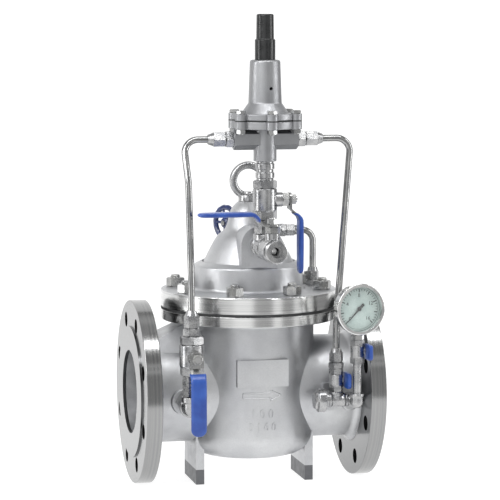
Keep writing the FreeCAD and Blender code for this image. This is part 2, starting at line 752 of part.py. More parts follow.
def lever_and_grip():
    """Flat steel lever with its nut, and the vinyl grip: stem along X, lever down -Z."""
    outer = lever_seat + lever_thickness
    line = [(lever_seat, lever_width / 2), (lever_seat, -lever_jog_start),
            (lever_seat + lever_jog, -lever_jog_end), (lever_seat + lever_jog, -lever_reach)]

    def strip(side_line, inner_shift, thickness, width):
        """Bent strip of one thickness that follows the side line."""
        near = [Vector(x - inner_shift, -width / 2, z) for x, z in side_line]
        far = [Vector(x - inner_shift + thickness, -width / 2, z) for x, z in side_line]
        outline = near + far[::-1]
        return Part.Face(Part.makePolygon(outline + outline[:1])).extrude(Y_AXIS * width)

    def face_outline(width, top, bottom, depth):
        """Plate seen from the stem's end: round at both ends."""
        corners = [(Vector(0, -width / 2, top), width * 0.45),
                   (Vector(0, width / 2, top), width * 0.45),
                   (Vector(0, width / 2, bottom), width * 0.45),
                   (Vector(0, -width / 2, bottom), width * 0.45)]
        return Part.Face(rounded_wire(corners)).extrude(X_AXIS * depth)

    lever = strip(line, 0, lever_thickness, lever_width)
    lever = lever.common(face_outline(lever_width, lever_width / 2, -lever_reach, 80))
    lever = lever.cut(placed(rod(cock_stem_radius + thread_gap, 0, 80), ORIGIN, X_AXIS))
    nut = placed(hexagon(lever_nut_size, outer, outer + lever_nut_height,
                         cock_stem_radius + thread_gap), ORIGIN, X_AXIS)
    spare = (grip_thickness - lever_thickness) / 2
    slope = lever_jog / (lever_jog_end - lever_jog_start)
    start_x = lever_seat + (grip_start - lever_jog_start) * slope
    grip_line = [(start_x, -grip_start), (lever_seat + lever_jog, -lever_jog_end),
                 (lever_seat + lever_jog, -grip_reach)]
    grip = strip(grip_line, spare, grip_thickness, grip_width)
    grip = grip.common(face_outline(grip_width, 40, -grip_reach, 80))
    rim = [edge for edge in grip.Edges if edge.Length > 40]
    grip = grip.makeFillet(grip_thickness * 0.3, rim)
    return group([lever, nut]), grip.cut(lever)


def mini_handle():
    """Moulded handle of a mini cock with its screw: stem along X, handle down -Z."""
    inner = mini_handle_start
    outline = [(Vector(inner, -mini_handle_width / 2, mini_handle_hub), mini_handle_hub * 0.9),
               (Vector(inner, mini_handle_width / 2, mini_handle_hub), mini_handle_hub * 0.9),
               (Vector(inner, mini_handle_width / 2, -mini_handle_reach), 4),
               (Vector(inner, -mini_handle_width / 2, -mini_handle_reach), 4)]
    handle = Part.Face(rounded_wire(outline)).extrude(X_AXIS * mini_handle_thickness)
    outer = inner + mini_handle_thickness
    top_edges = [edge for edge in handle.Edges
                 if min(vertex.X for vertex in edge.Vertexes) > outer - 0.01]
    handle = handle.makeFillet(1.6, top_edges)
    return handle.cut(placed(rod(mini_stem_radius + thread_gap, 0, 60), ORIGIN, X_AXIS))


def place_cock(nodes, caps, glands, name, shapes, moving, origin, way, stem, turn):
    """Put one cock's pieces at a place; turn swings the ball and lever about the stem."""
    body, cap, gland, ball = shapes
    nodes[name + "_body"] = placed(body, origin, way, stem)
    caps.append(placed(cap, origin, way, stem))
    glands.append(placed(gland, origin, way, stem))
    swinging = {name + "_ball": ball}
    swinging.update({name + suffix: shape for suffix, shape in moving.items()})
    for node, shape in swinging.items():
        nodes[node] = placed(spun(shape, turn, X_AXIS), origin, way, stem)


def make_cocks():
    """The three lever cocks and the two mini cocks."""
    nodes = {}
    caps = []
    glands = []
    large = cock_shapes(cock_length, cock_hex_size, cock_hex_length, cock_body_radius,
                        cock_ball_radius, cock_way_radius, cock_stem_radius, cock_boss_radius,
                        cock_boss_top, gland_size, gland_height,
                        lever_seat + lever_thickness + lever_nut_height + 1.5, quarter_radius)
    mini = cock_shapes(mini_length, mini_hex_size, mini_hex_length, mini_body_radius,
                       mini_ball_radius, mini_way_radius, mini_stem_radius, mini_boss_radius,
                       mini_body_radius, mini_gland_size, mini_gland_height,
                       mini_handle_start + mini_handle_thickness + 0.8, eighth_radius)
    lever, grip = lever_and_grip()
    lever_set = {"_lever": lever, "_grip": grip}
    handle_set = {"_handle": mini_handle()}
    place_cock(nodes, caps, glands, "inlet_cock", large, lever_set,
               Vector(inlet_column_x, inlet_column_y, inlet_cock_level), Z_AXIS, -Y_AXIS, 0)
    place_cock(nodes, caps, glands, "pilot_cock", large, lever_set,
               Vector(0, -pilot_reach, pilot_cock_level), Z_AXIS, X_AXIS, 0)
    place_cock(nodes, caps, glands, "vent_cock", large, lever_set,
               Vector(0, vent_cock_y, port_level), -Y_AXIS, Z_AXIS, 90)
    place_cock(nodes, caps, glands, "return_cock", mini, handle_set,
               Vector(outlet_column_x, outlet_column_y, return_cock_level), Z_AXIS, X_AXIS, -90)
    place_cock(nodes, caps, glands, "gauge_cock", mini, handle_set,
               Vector(gauge_column_x, gauge_column_y, gauge_cock_level), Z_AXIS, X_AXIS, -90)
    nodes["cock_end_caps"] = group(caps)
    nodes["cock_gland_nuts"] = group(glands)
    return nodes


# ================================================================ pipe fittings
def banded_arm(radius, band_radius, band, reach):
    """One arm of a cast fitting from the centre out to its reinforcing band, along Z."""
    return turned([(0, 0), (radius, 0), (radius, reach - band - 1.5, 1),
                   (band_radius, reach - band, 0.5), (band_radius, reach, 1), (0, reach)])


def cast_fitting(directions, radius, band_radius, band, reach, thread_radius):
    """Cast fitting with one tapped arm in each direction."""
    arms = [placed(banded_arm(radius, band_radius, band, reach), ORIGIN, way)
            for way in directions]
    fitting = joined(arms + [Part.makeSphere(radius)])
    for way in directions:
        hole = socket_hole(thread_radius, pipe_way_radius, reach)
        fitting = fitting.cut(placed(hole, way * reach, way))
    return fitting


def make_chamber_tee():
    """Tee in front of the cover: back to the chamber, front to the vent, up to the pilot."""
    tee = cast_fitting([Y_AXIS, -Y_AXIS, Z_AXIS], tee_radius, tee_band_radius, tee_band,
                       tee_arm, quarter_radius)
    return moved(tee, y=-pilot_reach, z=port_level)


def make_pipe_elbows():
    """Elbow under the inlet cock, and the two elbows that bring the gauge forward."""
    inlet = cast_fitting([Y_AXIS, Z_AXIS], 10.5, 12.5, 6, elbow_arm, quarter_radius)
    side = cast_fitting([-X_AXIS, -Y_AXIS], 7.5, 8.5, 3, gauge_elbow_arm, eighth_radius)
    upward = cast_fitting([Y_AXIS, Z_AXIS], 7.5, 8.5, 3, gauge_elbow_arm, eighth_radius)
    return group([moved(inlet, inlet_column_x, inlet_column_y, takeoff_level),
                  moved(side, gauge_column_x, outlet_column_y, takeoff_level),
                  moved(upward, gauge_column_x, gauge_column_y, takeoff_level)])


def make_outlet_cross():
    """Cross at the outlet take-off."""
    cross = cast_fitting([Y_AXIS, Z_AXIS, X_AXIS, -X_AXIS], cross_radius, cross_band_radius,
                         3, cross_arm, eighth_radius)
    return moved(cross, outlet_column_x, outlet_column_y, takeoff_level)


def riser():
    """Ringed coupling between the pilot cock and the pilot, with male ends."""
    step = riser_gap / 4
    body = turned([(0, 0), (10.0, 0), (10.0, step * 0.4, 0.6), (11.2, step * 0.5, 0.6),
                   (11.2, step * 1.6, 0.6), (10.0, step * 1.7, 0.6), (10.0, step * 2.3, 0.6),
                   (11.2, step * 2.4, 0.6), (11.2, step * 3.5, 0.6), (10.2, step * 3.6, 0.6),
                   (10.2, riser_gap), (0, riser_gap)])
    piece = joined([body, rod(quarter_radius, -engagement, riser_gap + engagement)])
    return piece.cut(rod(pipe_way_radius, -engagement - 1, riser_gap + engagement + 1))


def make_pipe_nipples():
    """Nipples between the fittings, and the hexagon plug of the spare outlet port."""
    front_face = port_pad_face + port_boss_proud
    pieces = [
        placed(nipple(pilot_reach - tee_arm - front_face, quarter_radius, pipe_way_radius,
                      tee_nipple_size), Vector(0, -front_face, port_level), -Y_AXIS),
        moved(nipple(tee_nipple_gap, quarter_radius, pipe_way_radius, tee_nipple_size),
              y=-pilot_reach, z=tee_top),
        placed(nipple(0, quarter_radius, pipe_way_radius),
               Vector(0, -pilot_reach - tee_arm, port_level), -Y_AXIS),
        moved(riser(), y=-pilot_reach, z=pilot_cock_level + cock_length / 2),
    ]
    inlet_gap = -inlet_column_y - elbow_arm - boss_face
    pieces.append(placed(nipple(inlet_gap, quarter_radius, pipe_way_radius, 19.0),
                         Vector(inlet_column_x, -boss_face, takeoff_level), -Y_AXIS))
    elbow_top = takeoff_level + elbow_arm
    cock_foot = inlet_cock_level - cock_length / 2
    pieces.append(moved(nipple(cock_foot - elbow_top, quarter_radius, pipe_way_radius, 19.0),
                        inlet_column_x, inlet_column_y, elbow_top))
    outlet_gap = -outlet_column_y - cross_arm - boss_face
    reducer = joined([rod(quarter_radius, -engagement, 0), hexagon(17.0, 0, outlet_gap),
                      rod(eighth_radius, 0, outlet_gap + engagement)])
    reducer = reducer.cut(rod(2.5, -engagement - 1, outlet_gap + engagement + 1))
    pieces.append(placed(reducer, Vector(outlet_column_x, -boss_face, takeoff_level), -Y_AXIS))
    pieces.append(moved(nipple(0, eighth_radius, 2.5), outlet_column_x, outlet_column_y,
                        takeoff_level + cross_arm))
    side_gap = gauge_column_x - gauge_elbow_arm - outlet_column_x - cross_arm
    pieces.append(placed(nipple(side_gap, eighth_radius, 2.5, 13.0),
                         Vector(outlet_column_x + cross_arm, outlet_column_y, takeoff_level),
                         X_AXIS))
    pieces.append(placed(nipple(0, eighth_radius, 2.5),
                         Vector(gauge_column_x, outlet_column_y - gauge_elbow_arm,
                                takeoff_level), -Y_AXIS))
    gauge_elbow_top = takeoff_level + gauge_elbow_arm
    gauge_cock_foot = gauge_cock_level - mini_length / 2
    stand = nipple(gauge_cock_foot - gauge_elbow_top, eighth_radius, 2.5)
    pieces.append(moved(stand, gauge_column_x, gauge_column_y, gauge_elbow_top))
    plug = joined([rod(eighth_radius, -engagement, 0),
                   turned([(0, 0), (9, 0), (9, 3, 0.5), (plug_radius, 3.6, 1),
                           (plug_radius, plug_length * 0.75, 2), (11, plug_length * 0.8, 0.5),
                           (0, plug_length * 0.8)]),
                   hexagon(19.0, plug_length * 0.7, plug_length)])
    pieces.append(placed(plug, Vector(outlet_column_x - cross_arm, outlet_column_y,
                                      takeoff_level), -X_AXIS))
    return group(pieces)


# ================================================================ tubes
def make_tubes():
    """Three bent tubes with a connector and a nut at each end."""
    fittings = []
    start_points = {}
    ports = {
        "pilot_in": (Vector(-pilot_port_reach, -pilot_reach, pilot_port_level), -X_AXIS),
        "pilot_out": (Vector(pilot_port_reach, -pilot_reach, pilot_port_level), X_AXIS),
        "inlet": (Vector(inlet_column_x, inlet_column_y, inlet_cock_level + cock_length / 2),
                  Z_AXIS),
        "outlet": (Vector(outlet_column_x, outlet_column_y,
                          return_cock_level + mini_length / 2), Z_AXIS),
        "bleed_high": (Vector(bleed_boss_reach, bleed_y, bleed_level), X_AXIS),
        "bleed_low": (Vector(bleed_side_reach, bleed_y, cover_flange_top), Z_AXIS),
    }
    for name, (port, way) in ports.items():
        if name.startswith("bleed"):
            made = tube_fitting(eighth_radius, bleed_radius, bleed_fitting_size,
                                bleed_fitting_length)
        elif name == "outlet":
            made = tube_fitting(eighth_radius, tube_radius, mini_fitting_size,
                                mini_fitting_length)
        else:
            made = tube_fitting(quarter_radius, tube_radius, pilot_fitting_size,
                                pilot_fitting_length)
        connector, nut, tube_start = made
        fittings += [placed(connector, port, way), placed(nut, port, way)]
        start_points[name] = port + way * (tube_start + free_gap)

    inlet_points = [start_points["pilot_in"],
                    Vector(-tube_side_reach, -pilot_reach, pilot_port_level),
                    Vector(inlet_column_x - 2, inlet_column_y + 6, pilot_port_level - tube_slant_drop),
                    Vector(inlet_column_x, inlet_column_y, inlet_cock_level + cock_length + tube_straight),
                    start_points["inlet"]]
    outlet_points = [start_points["pilot_out"],
                     Vector(outlet_tube_side_reach, -pilot_reach, pilot_port_level),
                     Vector(outlet_column_x, outlet_column_y, return_cock_level + outlet_tube_corner),
                     start_points["outlet"]]
    bleed_points = [start_points["bleed_high"],
                    Vector(bleed_side_reach, bleed_y, bleed_level), start_points["bleed_low"]]
    return {
        "inlet_tube": bent_tube(inlet_points, [tube_bend, 60.0, 200.0], tube_radius,
                                tube_radius - tube_wall),
        "outlet_tube": bent_tube(outlet_points, [tube_bend, 120.0], tube_radius,
                                 tube_radius - tube_wall),
        "bleed_tube": bent_tube(bleed_points, [bleed_bend], bleed_radius,
                                bleed_radius - tube_wall),
        "tube_fittings": group(fittings),
    }


# ================================================================ pilot valve
def lugged_flange(low, high):
    """Round flange with a lug for each bolt."""
    rounding = min(1.0, (high - low) / 4)
    disc = turned([(0, low), (pilot_flange_radius, low, rounding),
                   (pilot_flange_radius, high, rounding), (0, high)])
    lug = moved(rod(pilot_lug_radius, low, high), x=pilot_bolt_circle)
    return joined([disc] + around(lug, pilot_bolts_count, pilot_bolt_angle))


def drill_pilot_bolts(shape, low, high):
    """Cut the pilot's bolt holes through a piece."""
    hole = moved(rod(pilot_bolt_radius + bolt_gap, low - 1, high + 1), x=pilot_bolt_circle)
    for drill in around(hole, pilot_bolts_count, pilot_bolt_angle):
        shape = shape.cut(drill)
    return shape


def slanted_way(radius, start, end):
    """Drilled passage between two points."""
    way = end - start
    return placed(rod(radius, 0, way.Length), start, way.normalize())


def make_pilot():
    """Pilot valve: body, diaphragm, spring housing, spring, adjusting screw and cap."""
    nodes = {}
    barrel_top = pilot_foot + pilot_barrel_height
    web_low = pilot_port_level - pilot_web / 2
    web_high = pilot_port_level + pilot_web / 2
    recess_floor = pilot_joint - pilot_recess_depth
    barrel = turned([(0, pilot_foot), (pilot_barrel_radius, pilot_foot, 1),
                     (pilot_barrel_radius, barrel_top + 1), (0, barrel_top + 1)])
    ports = placed(hexagon(pilot_port_size, -pilot_port_reach, pilot_port_reach),
                   Vector(0, 0, pilot_port_level), X_AXIS, Z_AXIS)
    body = joined([barrel, ports, lugged_flange(barrel_top, pilot_joint)])
    body = body.cut(rod(pilot_chamber_radius, web_low - 10, web_low))
    body = body.cut(rod(pilot_chamber_radius, web_high, web_high + 8))
    body = body.cut(rod(pilot_seat_radius, web_low - 1, web_high + 1))
    body = body.cut(rod(plunger_radius + running_gap, web_high, pilot_joint + 1))
    body = body.cut(rod(pilot_recess_radius, recess_floor, pilot_joint + 1))
    body = body.cut(moved(rod(1.2, web_high, recess_floor + 1), x=5.5))
    body = body.cut(moved(socket_hole(quarter_radius, pipe_way_radius, 10).mirror(ORIGIN, Z_AXIS),
                          z=pilot_foot))
    body = body.cut(rod(pipe_way_radius, pilot_foot, web_low - 8))
    for side in (-1, 1):
        mouth = Vector(side * pilot_port_reach, 0, pilot_port_level)
        drilled = socket_hole(quarter_radius, pipe_way_radius, pilot_port_reach - 20)
        body = body.cut(placed(drilled, mouth, X_AXIS * side))
        turn_point = Vector(side * 21, 0, pilot_port_level)
        inside = Vector(side * 5, 0, pilot_port_level + side * (pilot_web / 2 + 4))
        body = body.cut(slanted_way(2.2, turn_point, inside))
    nodes["pilot_body"] = drill_pilot_bolts(body, barrel_top, pilot_joint)

    sheet = lugged_flange(pilot_joint, pilot_upper_start)
    nodes["pilot_diaphragm"] = drill_pilot_bolts(sheet, pilot_joint, pilot_upper_start)

    plate_radius = pilot_recess_radius - 4
    poppet_top = web_low - free_gap
    poppet_foot = poppet_top - poppet_height
    plunger = joined([rod(plunger_radius, poppet_top - 1, pilot_joint),
                      turned([(0, poppet_foot), (poppet_radius, poppet_foot, 1),
                              (poppet_radius, poppet_top), (0, poppet_top)]),
                      rod(plate_radius, pilot_joint - pilot_plate, pilot_joint)])

    housing = joined([
        lugged_flange(pilot_upper_start, housing_foot),
        turned([(0, housing_foot - 1), (pilot_flange_radius - 8, housing_foot - 1),
                (pilot_flange_radius - 8, housing_foot), (housing_foot_radius, housing_cone_top, 3),
                (housing_top_radius, housing_top, 3), (0, housing_top)])])
    housing = housing.cut(turned([(0, pilot_upper_start - 1), (pilot_recess_radius, pilot_upper_start - 1),
                                  (pilot_recess_radius, pilot_upper_start + 4),
                                  (housing_inner_radius, housing_cone_top),
                                  (housing_inner_radius, housing_top - housing_roof),
                                  (0, housing_top - housing_roof)]))
    housing = housing.cut(rod(screw_radius + running_gap, housing_top - housing_roof - 1,
                              housing_top + 1))
    vent = placed(rod(housing_vent_radius, 0, 30),
                  Vector(3, 0, housing_cone_top + 17), -Y_AXIS)
    nodes["pilot_spring_housing"] = drill_pilot_bolts(housing.cut(vent), pilot_upper_start,
                                                      housing_foot)

    bolt_foot = barrel_top - 6.0
    bolt = joined([rod(pilot_bolt_radius, bolt_foot, housing_foot),
                   hexagon(10.0, housing_foot, housing_foot + 4)])
    bolt_nut = hexagon(10.0, barrel_top - 5, barrel_top, pilot_bolt_radius + thread_gap)
    bolts = []
    for piece in (bolt, bolt_nut):
        bolts += around(moved(piece, x=pilot_bolt_circle), pilot_bolts_count, pilot_bolt_angle)
    nodes["pilot_bolts"] = group(bolts)

    spring_floor = pilot_upper_start + 3
    button_top = housing_top - housing_roof - free_gap
    button_bottom = button_top - button_height
    spring_plate = rod(housing_inner_radius - 1, pilot_upper_start, spring_floor)
    nodes["pilot_plunger"] = group([plunger, spring_plate])
    nodes["pilot_spring"] = coil_spring(pilot_spring_radius, pilot_spring_wire, spring_floor,
                                        button_bottom, pilot_spring_turns)
    screw_tip = button_top - 2
    button = rod(housing_inner_radius - free_gap, button_bottom, button_top)
    nodes["pilot_spring_button"] = button.cut(rod(screw_radius + free_gap, screw_tip, button_top + 1))
    screw_top = screw_tip + screw_length
    screw = joined([turned([(0, screw_tip), (screw_radius, screw_tip, 0.8),
                            (screw_radius, screw_top - 8), (0, screw_top - 8)]),
                    block(7, 7, screw_top - 9, screw_top)])
    nodes["adjusting_screw"] = screw
    nodes["adjusting_locknut"] = hexagon(locknut_size, housing_top, housing_top + locknut_height,
                                         screw_radius + running_gap)
    cap_top = housing_top + cap_height
    skirt_top = housing_top + cap_skirt_height
    cap = turned([(0, housing_top), (cap_skirt_radius, housing_top, 0.6),
                  (cap_skirt_radius, skirt_top, 1), (cap_top_radius + 0.4, skirt_top + 1.5, 0.6),
                  (cap_top_radius, cap_top, 2), (0, cap_top)])
    cap = cap.cut(turned([(0, housing_top - 1), (cap_skirt_radius - cap_wall, housing_top - 1),
                          (cap_skirt_radius - cap_wall, skirt_top - cap_wall),
                          (cap_top_radius - cap_wall, skirt_top + 1.5),
                          (cap_top_radius - cap_wall, cap_top - cap_wall), (0, cap_top - cap_wall)]))
    nodes["adjusting_cap"] = cap
    return {name: moved(shape, y=-pilot_reach) for name, shape in nodes.items()}


# ================================================================ needle bleed valve
needle_direction = Vector(-math.cos(math.radians(30)), -math.sin(math.radians(30)), 0)
needle_centre = Vector(needle_x, needle_y, needle_level)


def make_needle_valve():
    """Needle valve behind the cover with its hand wheel; the stem is along its own Z."""
    half = needle_body_half
    cover_face = 33.0
    arm_reach = needle_y - cover_face - 6
    body = placed(hexagon(needle_body_size, -half, half), needle_centre, needle_direction, Z_AXIS)
    neck = placed(rod(5.5, half - 1, half + 5), needle_centre, needle_direction)
    bonnet = placed(hexagon(14.0, half + 4, half + 10), needle_centre, needle_direction, Z_AXIS)
    arm = placed(rod(6.5, 0, arm_reach), needle_centre, -Y_AXIS)
    joint_hex = placed(hexagon(14.0, arm_reach - 1, arm_reach + 6), needle_centre, -Y_AXIS)
    thread = placed(rod(eighth_radius, arm_reach, arm_reach + 6 + engagement), needle_centre, -Y_AXIS)
    spout = placed(rod(5.0, 0, 18), needle_centre, -Z_AXIS)
    body = joined([body, neck, bonnet, arm, joint_hex, thread, spout])
    body = body.cut(placed(rod(needle_stem_radius + running_gap, -4, half + 11), needle_centre,
                           needle_direction))
    body = body.cut(placed(rod(1.5, 3, arm_reach + 15), needle_centre, -Y_AXIS))
    body = body.cut(placed(rod(2.0, 2, 19), needle_centre, -Z_AXIS))
    tip = turned([(0, -3.5), (1.0, -3.5), (needle_stem_radius - 0.1, 0), (needle_stem_radius - 0.1, 3),
                  (0, 3)])
    stem = rod(needle_stem_radius, 3 + 0.05, wheel_distance + 6)
    rim = Part.makeTorus(wheel_radius, wheel_rim_radius, Vector(0, 0, wheel_distance), Z_AXIS)
    hub = rod(6.5, wheel_distance - 5, wheel_distance + 4)
    spoke = placed(rod(2.2, 4, wheel_radius), Vector(0, 0, wheel_distance), X_AXIS)
    wheel = joined([rim, hub] + around(spoke, wheel_spokes, 90))
    wheel = wheel.cut(rod(needle_stem_radius + thread_gap, 0, 60))
    return {
        "needle_valve_body": body,
        "needle_tip": placed(tip, needle_centre, needle_direction, Z_AXIS),
        "needle_stem": placed(stem, needle_centre, needle_direction, Z_AXIS),
        "handwheel": placed(wheel, needle_centre, needle_direction, Z_AXIS),
    }


# ================================================================ pressure gauge
def make_gauge():
    """Dial gauge: case with its shank, bezel, lens, dial and pointer; Z is its face."""
    yaw = math.radians(gauge_yaw)
    face = Vector(math.sin(yaw), -math.cos(yaw), 0)
    side = Vector(math.cos(yaw), math.sin(yaw), 0)
    centre = Vector(gauge_column_x, gauge_column_y, gauge_centre_level)
    inner = gauge_radius - gauge_wall
    case = turned([(0, gauge_back), (gauge_radius, gauge_back, 5), (gauge_radius, gauge_front),
                   (inner, gauge_front), (inner, dial_level), (inner - 2.5, dial_level),
                   (inner - 2.5, gauge_back + gauge_wall), (0, gauge_back + gauge_wall)])
    post = sleeve(4, 1.0 + running_gap, gauge_back + 1, dial_level - 1)
    case = placed(joined([case, post]), centre, face, side)
    shank_low = gauge_cock_level + mini_length / 2
    shank_top = gauge_centre_level - gauge_bezel_radius - free_gap
    shank = moved(hexagon(gauge_shank_size, shank_low, shank_top), gauge_column_x, gauge_column_y)
    neck_top = gauge_centre_level - gauge_radius + 1
    neck = moved(rod(gauge_neck_radius, shank_top - 1, neck_top), gauge_column_x, gauge_column_y)
    thread = moved(rod(eighth_radius, shank_low - engagement, shank_low + 1),
                   gauge_column_x, gauge_column_y)
    case = joined([case, neck, shank, thread])
    bezel_foot = gauge_neck_radius + free_gap
    bezel = turned([(gauge_radius + thread_gap, bezel_foot), (gauge_bezel_radius, bezel_foot, 0.6),
                    (gauge_bezel_radius, gauge_front + gauge_glass + 1.5, 1.2),
                    (gauge_radius - 2.5, gauge_front + gauge_glass + 1.5),
                    (gauge_radius - 3.2, gauge_front + gauge_glass),
                    (gauge_radius + thread_gap, gauge_front + gauge_glass)])
    lens = rod(gauge_radius - thread_gap, gauge_front, gauge_front + gauge_glass)
    dial = sleeve(inner - 0.1, 1.0 + free_gap, dial_level, dial_level + dial_thickness)
    blade_low = dial_level + dial_thickness + 0.8
    blade = Part.Face(Part.makePolygon([
        Vector(-8, -1.6, blade_low), Vector(0, -1.1, blade_low),
        Vector(pointer_length, -0.25, blade_low), Vector(pointer_length, 0.25, blade_low),
        Vector(0, 1.1, blade_low), Vector(-8, 1.6, blade_low),
        Vector(-8, -1.6, blade_low)])).extrude(Vector(0, 0, 0.7))
    pointer = joined([spun(blade, pointer_zero), rod(2.6, blade_low - 0.3, blade_low + 1.2),
                      rod(1.0, gauge_back + 3, blade_low)])
    return {
        "gauge_case": case,
        "gauge_bezel": placed(bezel, centre, face, side),
        "gauge_lens": placed(lens, centre, face, side),
        "gauge_dial": placed(dial, centre, face, side),
        "gauge_pointer": placed(pointer, centre, face, side),
    }


# ================================================================ assembly
def make_all():
    """Every node of the valve, about the valve centre."""
    nodes = {
        "main_body": make_main_body(),
        "feet": make_feet(),
        "seat_ring": make_seat_ring(),
        "main_diaphragm": make_main_diaphragm(),
        "cover": make_cover(),
        "cover_fasteners": make_cover_fasteners(),
        "main_spring": coil_spring(spring_radius, spring_wire_radius, washer_top,
                                   spring_ceiling, spring_turns),
        "lifting_eye": make_lifting_eye(),
        "chamber_tee": make_chamber_tee(),
        "pipe_elbows": make_pipe_elbows(),
        "outlet_cross": make_outlet_cross(),
        "pipe_nipples": make_pipe_nipples(),
    }
    for made in (make_main_trim(), make_cocks(), make_tubes(), make_pilot(),
                 make_needle_valve(), make_gauge()):
        nodes.update(made)
    return nodes


def save(nodes):
    """Write one STEP file per node, in the valve's own frame."""
    os.makedirs("parts", exist_ok=True)
    for name, shape in nodes.items():
        moved(shape, x=origin_shift).exportStep(os.path.join("parts", name + ".step"))
        print(name, len(shape.Solids), shape.isValid(), round(shape.Volume))
    print(len(nodes), "nodes")


save(make_all())
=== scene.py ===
"""Looks of the pressure reducing valve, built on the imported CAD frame.

Lengths are in metres in the frame's own axes: the inlet flange is centred on the origin,
+X is the flow direction, +Z is up, and the valve's front faces -Y. Each CAD node gets its
finish, and some pieces are made anew: fasteners, grips, hand wheel, lifting eye, pointer,
dial print and the casting's raised marks.
"""
import json
import math

import bmesh
import bpy
import numpy as np
from mathutils import Matrix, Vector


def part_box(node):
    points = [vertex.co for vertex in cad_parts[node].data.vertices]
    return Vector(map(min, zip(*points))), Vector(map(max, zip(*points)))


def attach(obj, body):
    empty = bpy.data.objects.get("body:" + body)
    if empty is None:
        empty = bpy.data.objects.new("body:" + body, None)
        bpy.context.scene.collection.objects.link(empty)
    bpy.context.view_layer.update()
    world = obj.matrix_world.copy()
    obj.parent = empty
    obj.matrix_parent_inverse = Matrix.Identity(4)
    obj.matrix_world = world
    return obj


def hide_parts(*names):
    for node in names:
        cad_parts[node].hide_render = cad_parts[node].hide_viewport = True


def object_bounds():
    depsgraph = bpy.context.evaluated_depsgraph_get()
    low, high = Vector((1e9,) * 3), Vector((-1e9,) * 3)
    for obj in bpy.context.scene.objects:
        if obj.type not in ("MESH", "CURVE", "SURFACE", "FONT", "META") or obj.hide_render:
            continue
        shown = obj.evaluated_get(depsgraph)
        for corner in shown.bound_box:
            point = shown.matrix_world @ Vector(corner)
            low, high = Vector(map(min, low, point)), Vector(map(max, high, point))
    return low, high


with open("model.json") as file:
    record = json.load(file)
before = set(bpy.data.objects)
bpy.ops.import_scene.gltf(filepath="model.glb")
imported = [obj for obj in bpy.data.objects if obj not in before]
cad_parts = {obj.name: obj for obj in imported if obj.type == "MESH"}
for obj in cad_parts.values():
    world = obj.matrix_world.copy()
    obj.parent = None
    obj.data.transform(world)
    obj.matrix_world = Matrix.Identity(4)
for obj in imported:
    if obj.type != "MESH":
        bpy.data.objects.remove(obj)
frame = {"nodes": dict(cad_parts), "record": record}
cad_low, cad_high = [list(corner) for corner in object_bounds()]
nodes = frame["nodes"]
MM = 0.001


def span(node):
    """Lowest and highest corner of a CAD node as arrays."""
    low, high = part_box(node)
    return np.array(low), np.array(high)


def middle(node):
    """Centre of a CAD node's box."""
    low, high = span(node)
    return (low + high) / 2


# ---------------------------------------------------------------- sizes taken from the frame
body_low, body_high = span("main_body")
cover_low, cover_high = span("cover")
bonnet = middle("cover") * [1, 0, 0]              # the bonnet's upright axis, at pipe level
flange_inset = 21.5 * MM                          # from the flange face to behind the flange
rim_radius = (cover_high[0] - cover_low[0]) / 2
half_length = float(body_high[0] - body_low[0]) / 2
neck_radius = 64 * MM                             # beyond it a flange starts, next to its neck
flange_edge = 109.4 * MM                          # just inside the flanges' outside radius
raised_face_depth = 4 * MM
rim_low = 80 * MM                                 # below the cover joint's two rims
foot_top = -92 * MM                               # the feet's plates are below this height
pilot_foot = float(cover_high[2]) + 10 * MM       # the pilot valve is above this height
barrel_radius = 79 * MM

X_AXIS = np.array([1.0, 0.0, 0.0])
Z_AXIS = np.array([0.0, 0.0, 1.0])


# ================================================================ colours and shader nodes
def linear(code):
    """Linear colour of an sRGB hex code."""
    parts = [int(code[i:i + 2], 16) / 255 for i in (1, 3, 5)]
    bent = [c / 12.92 if c <= 0.04045 else ((c + 0.055) / 1.055) ** 2.4 for c in parts]
    return (*bent, 1.0)


def scale(size):
    """Scale of a pattern whose features are about the size given in millimetres."""
    return 1000 / size


def stretched(pattern, low, high):
    """Map Range inputs that stretch a noise, nearly all of it from 0.3 to 0.7, to low and high."""
    return {"Value": pattern, "From Min": 0.3, "From Max": 0.7, "To Min": low, "To Max": high}


def join(tree, node, inputs):
    """Set or link a node's inputs, given by name or number."""
    for key, value in inputs.items():
        if isinstance(value, bpy.types.NodeSocket):
            tree.links.new(value, node.inputs[key])
        else:
            node.inputs[key].default_value = value


def add(tree, kind, inputs=None, output=0, **settings):
    """Output socket of a new shader node with its settings and its inputs set or linked."""
    node = tree.nodes.new("ShaderNode" + kind)
    for name, value in settings.items():
        setattr(node, name, value)
    join(tree, node, inputs or {})
    return node.outputs[output]


def material(name):
    """A new material with its tree, its Principled shader and its object coordinates."""
    made = bpy.data.materials.new(name)
    made.use_nodes = True
    tree = made.node_tree
    return made, tree, tree.nodes["Principled BSDF"], add(tree, "TexCoord", output="Object")


def two_tone(tree, pattern, dark, light):
    """Colour that runs from one hex code to another as the pattern's noise does."""
    share = add(tree, "MapRange", stretched(pattern, 0.0, 1.0))
    return add(tree, "Mix", {0: share, 6: linear(dark), 7: linear(light)}, 2, data_type="RGBA")


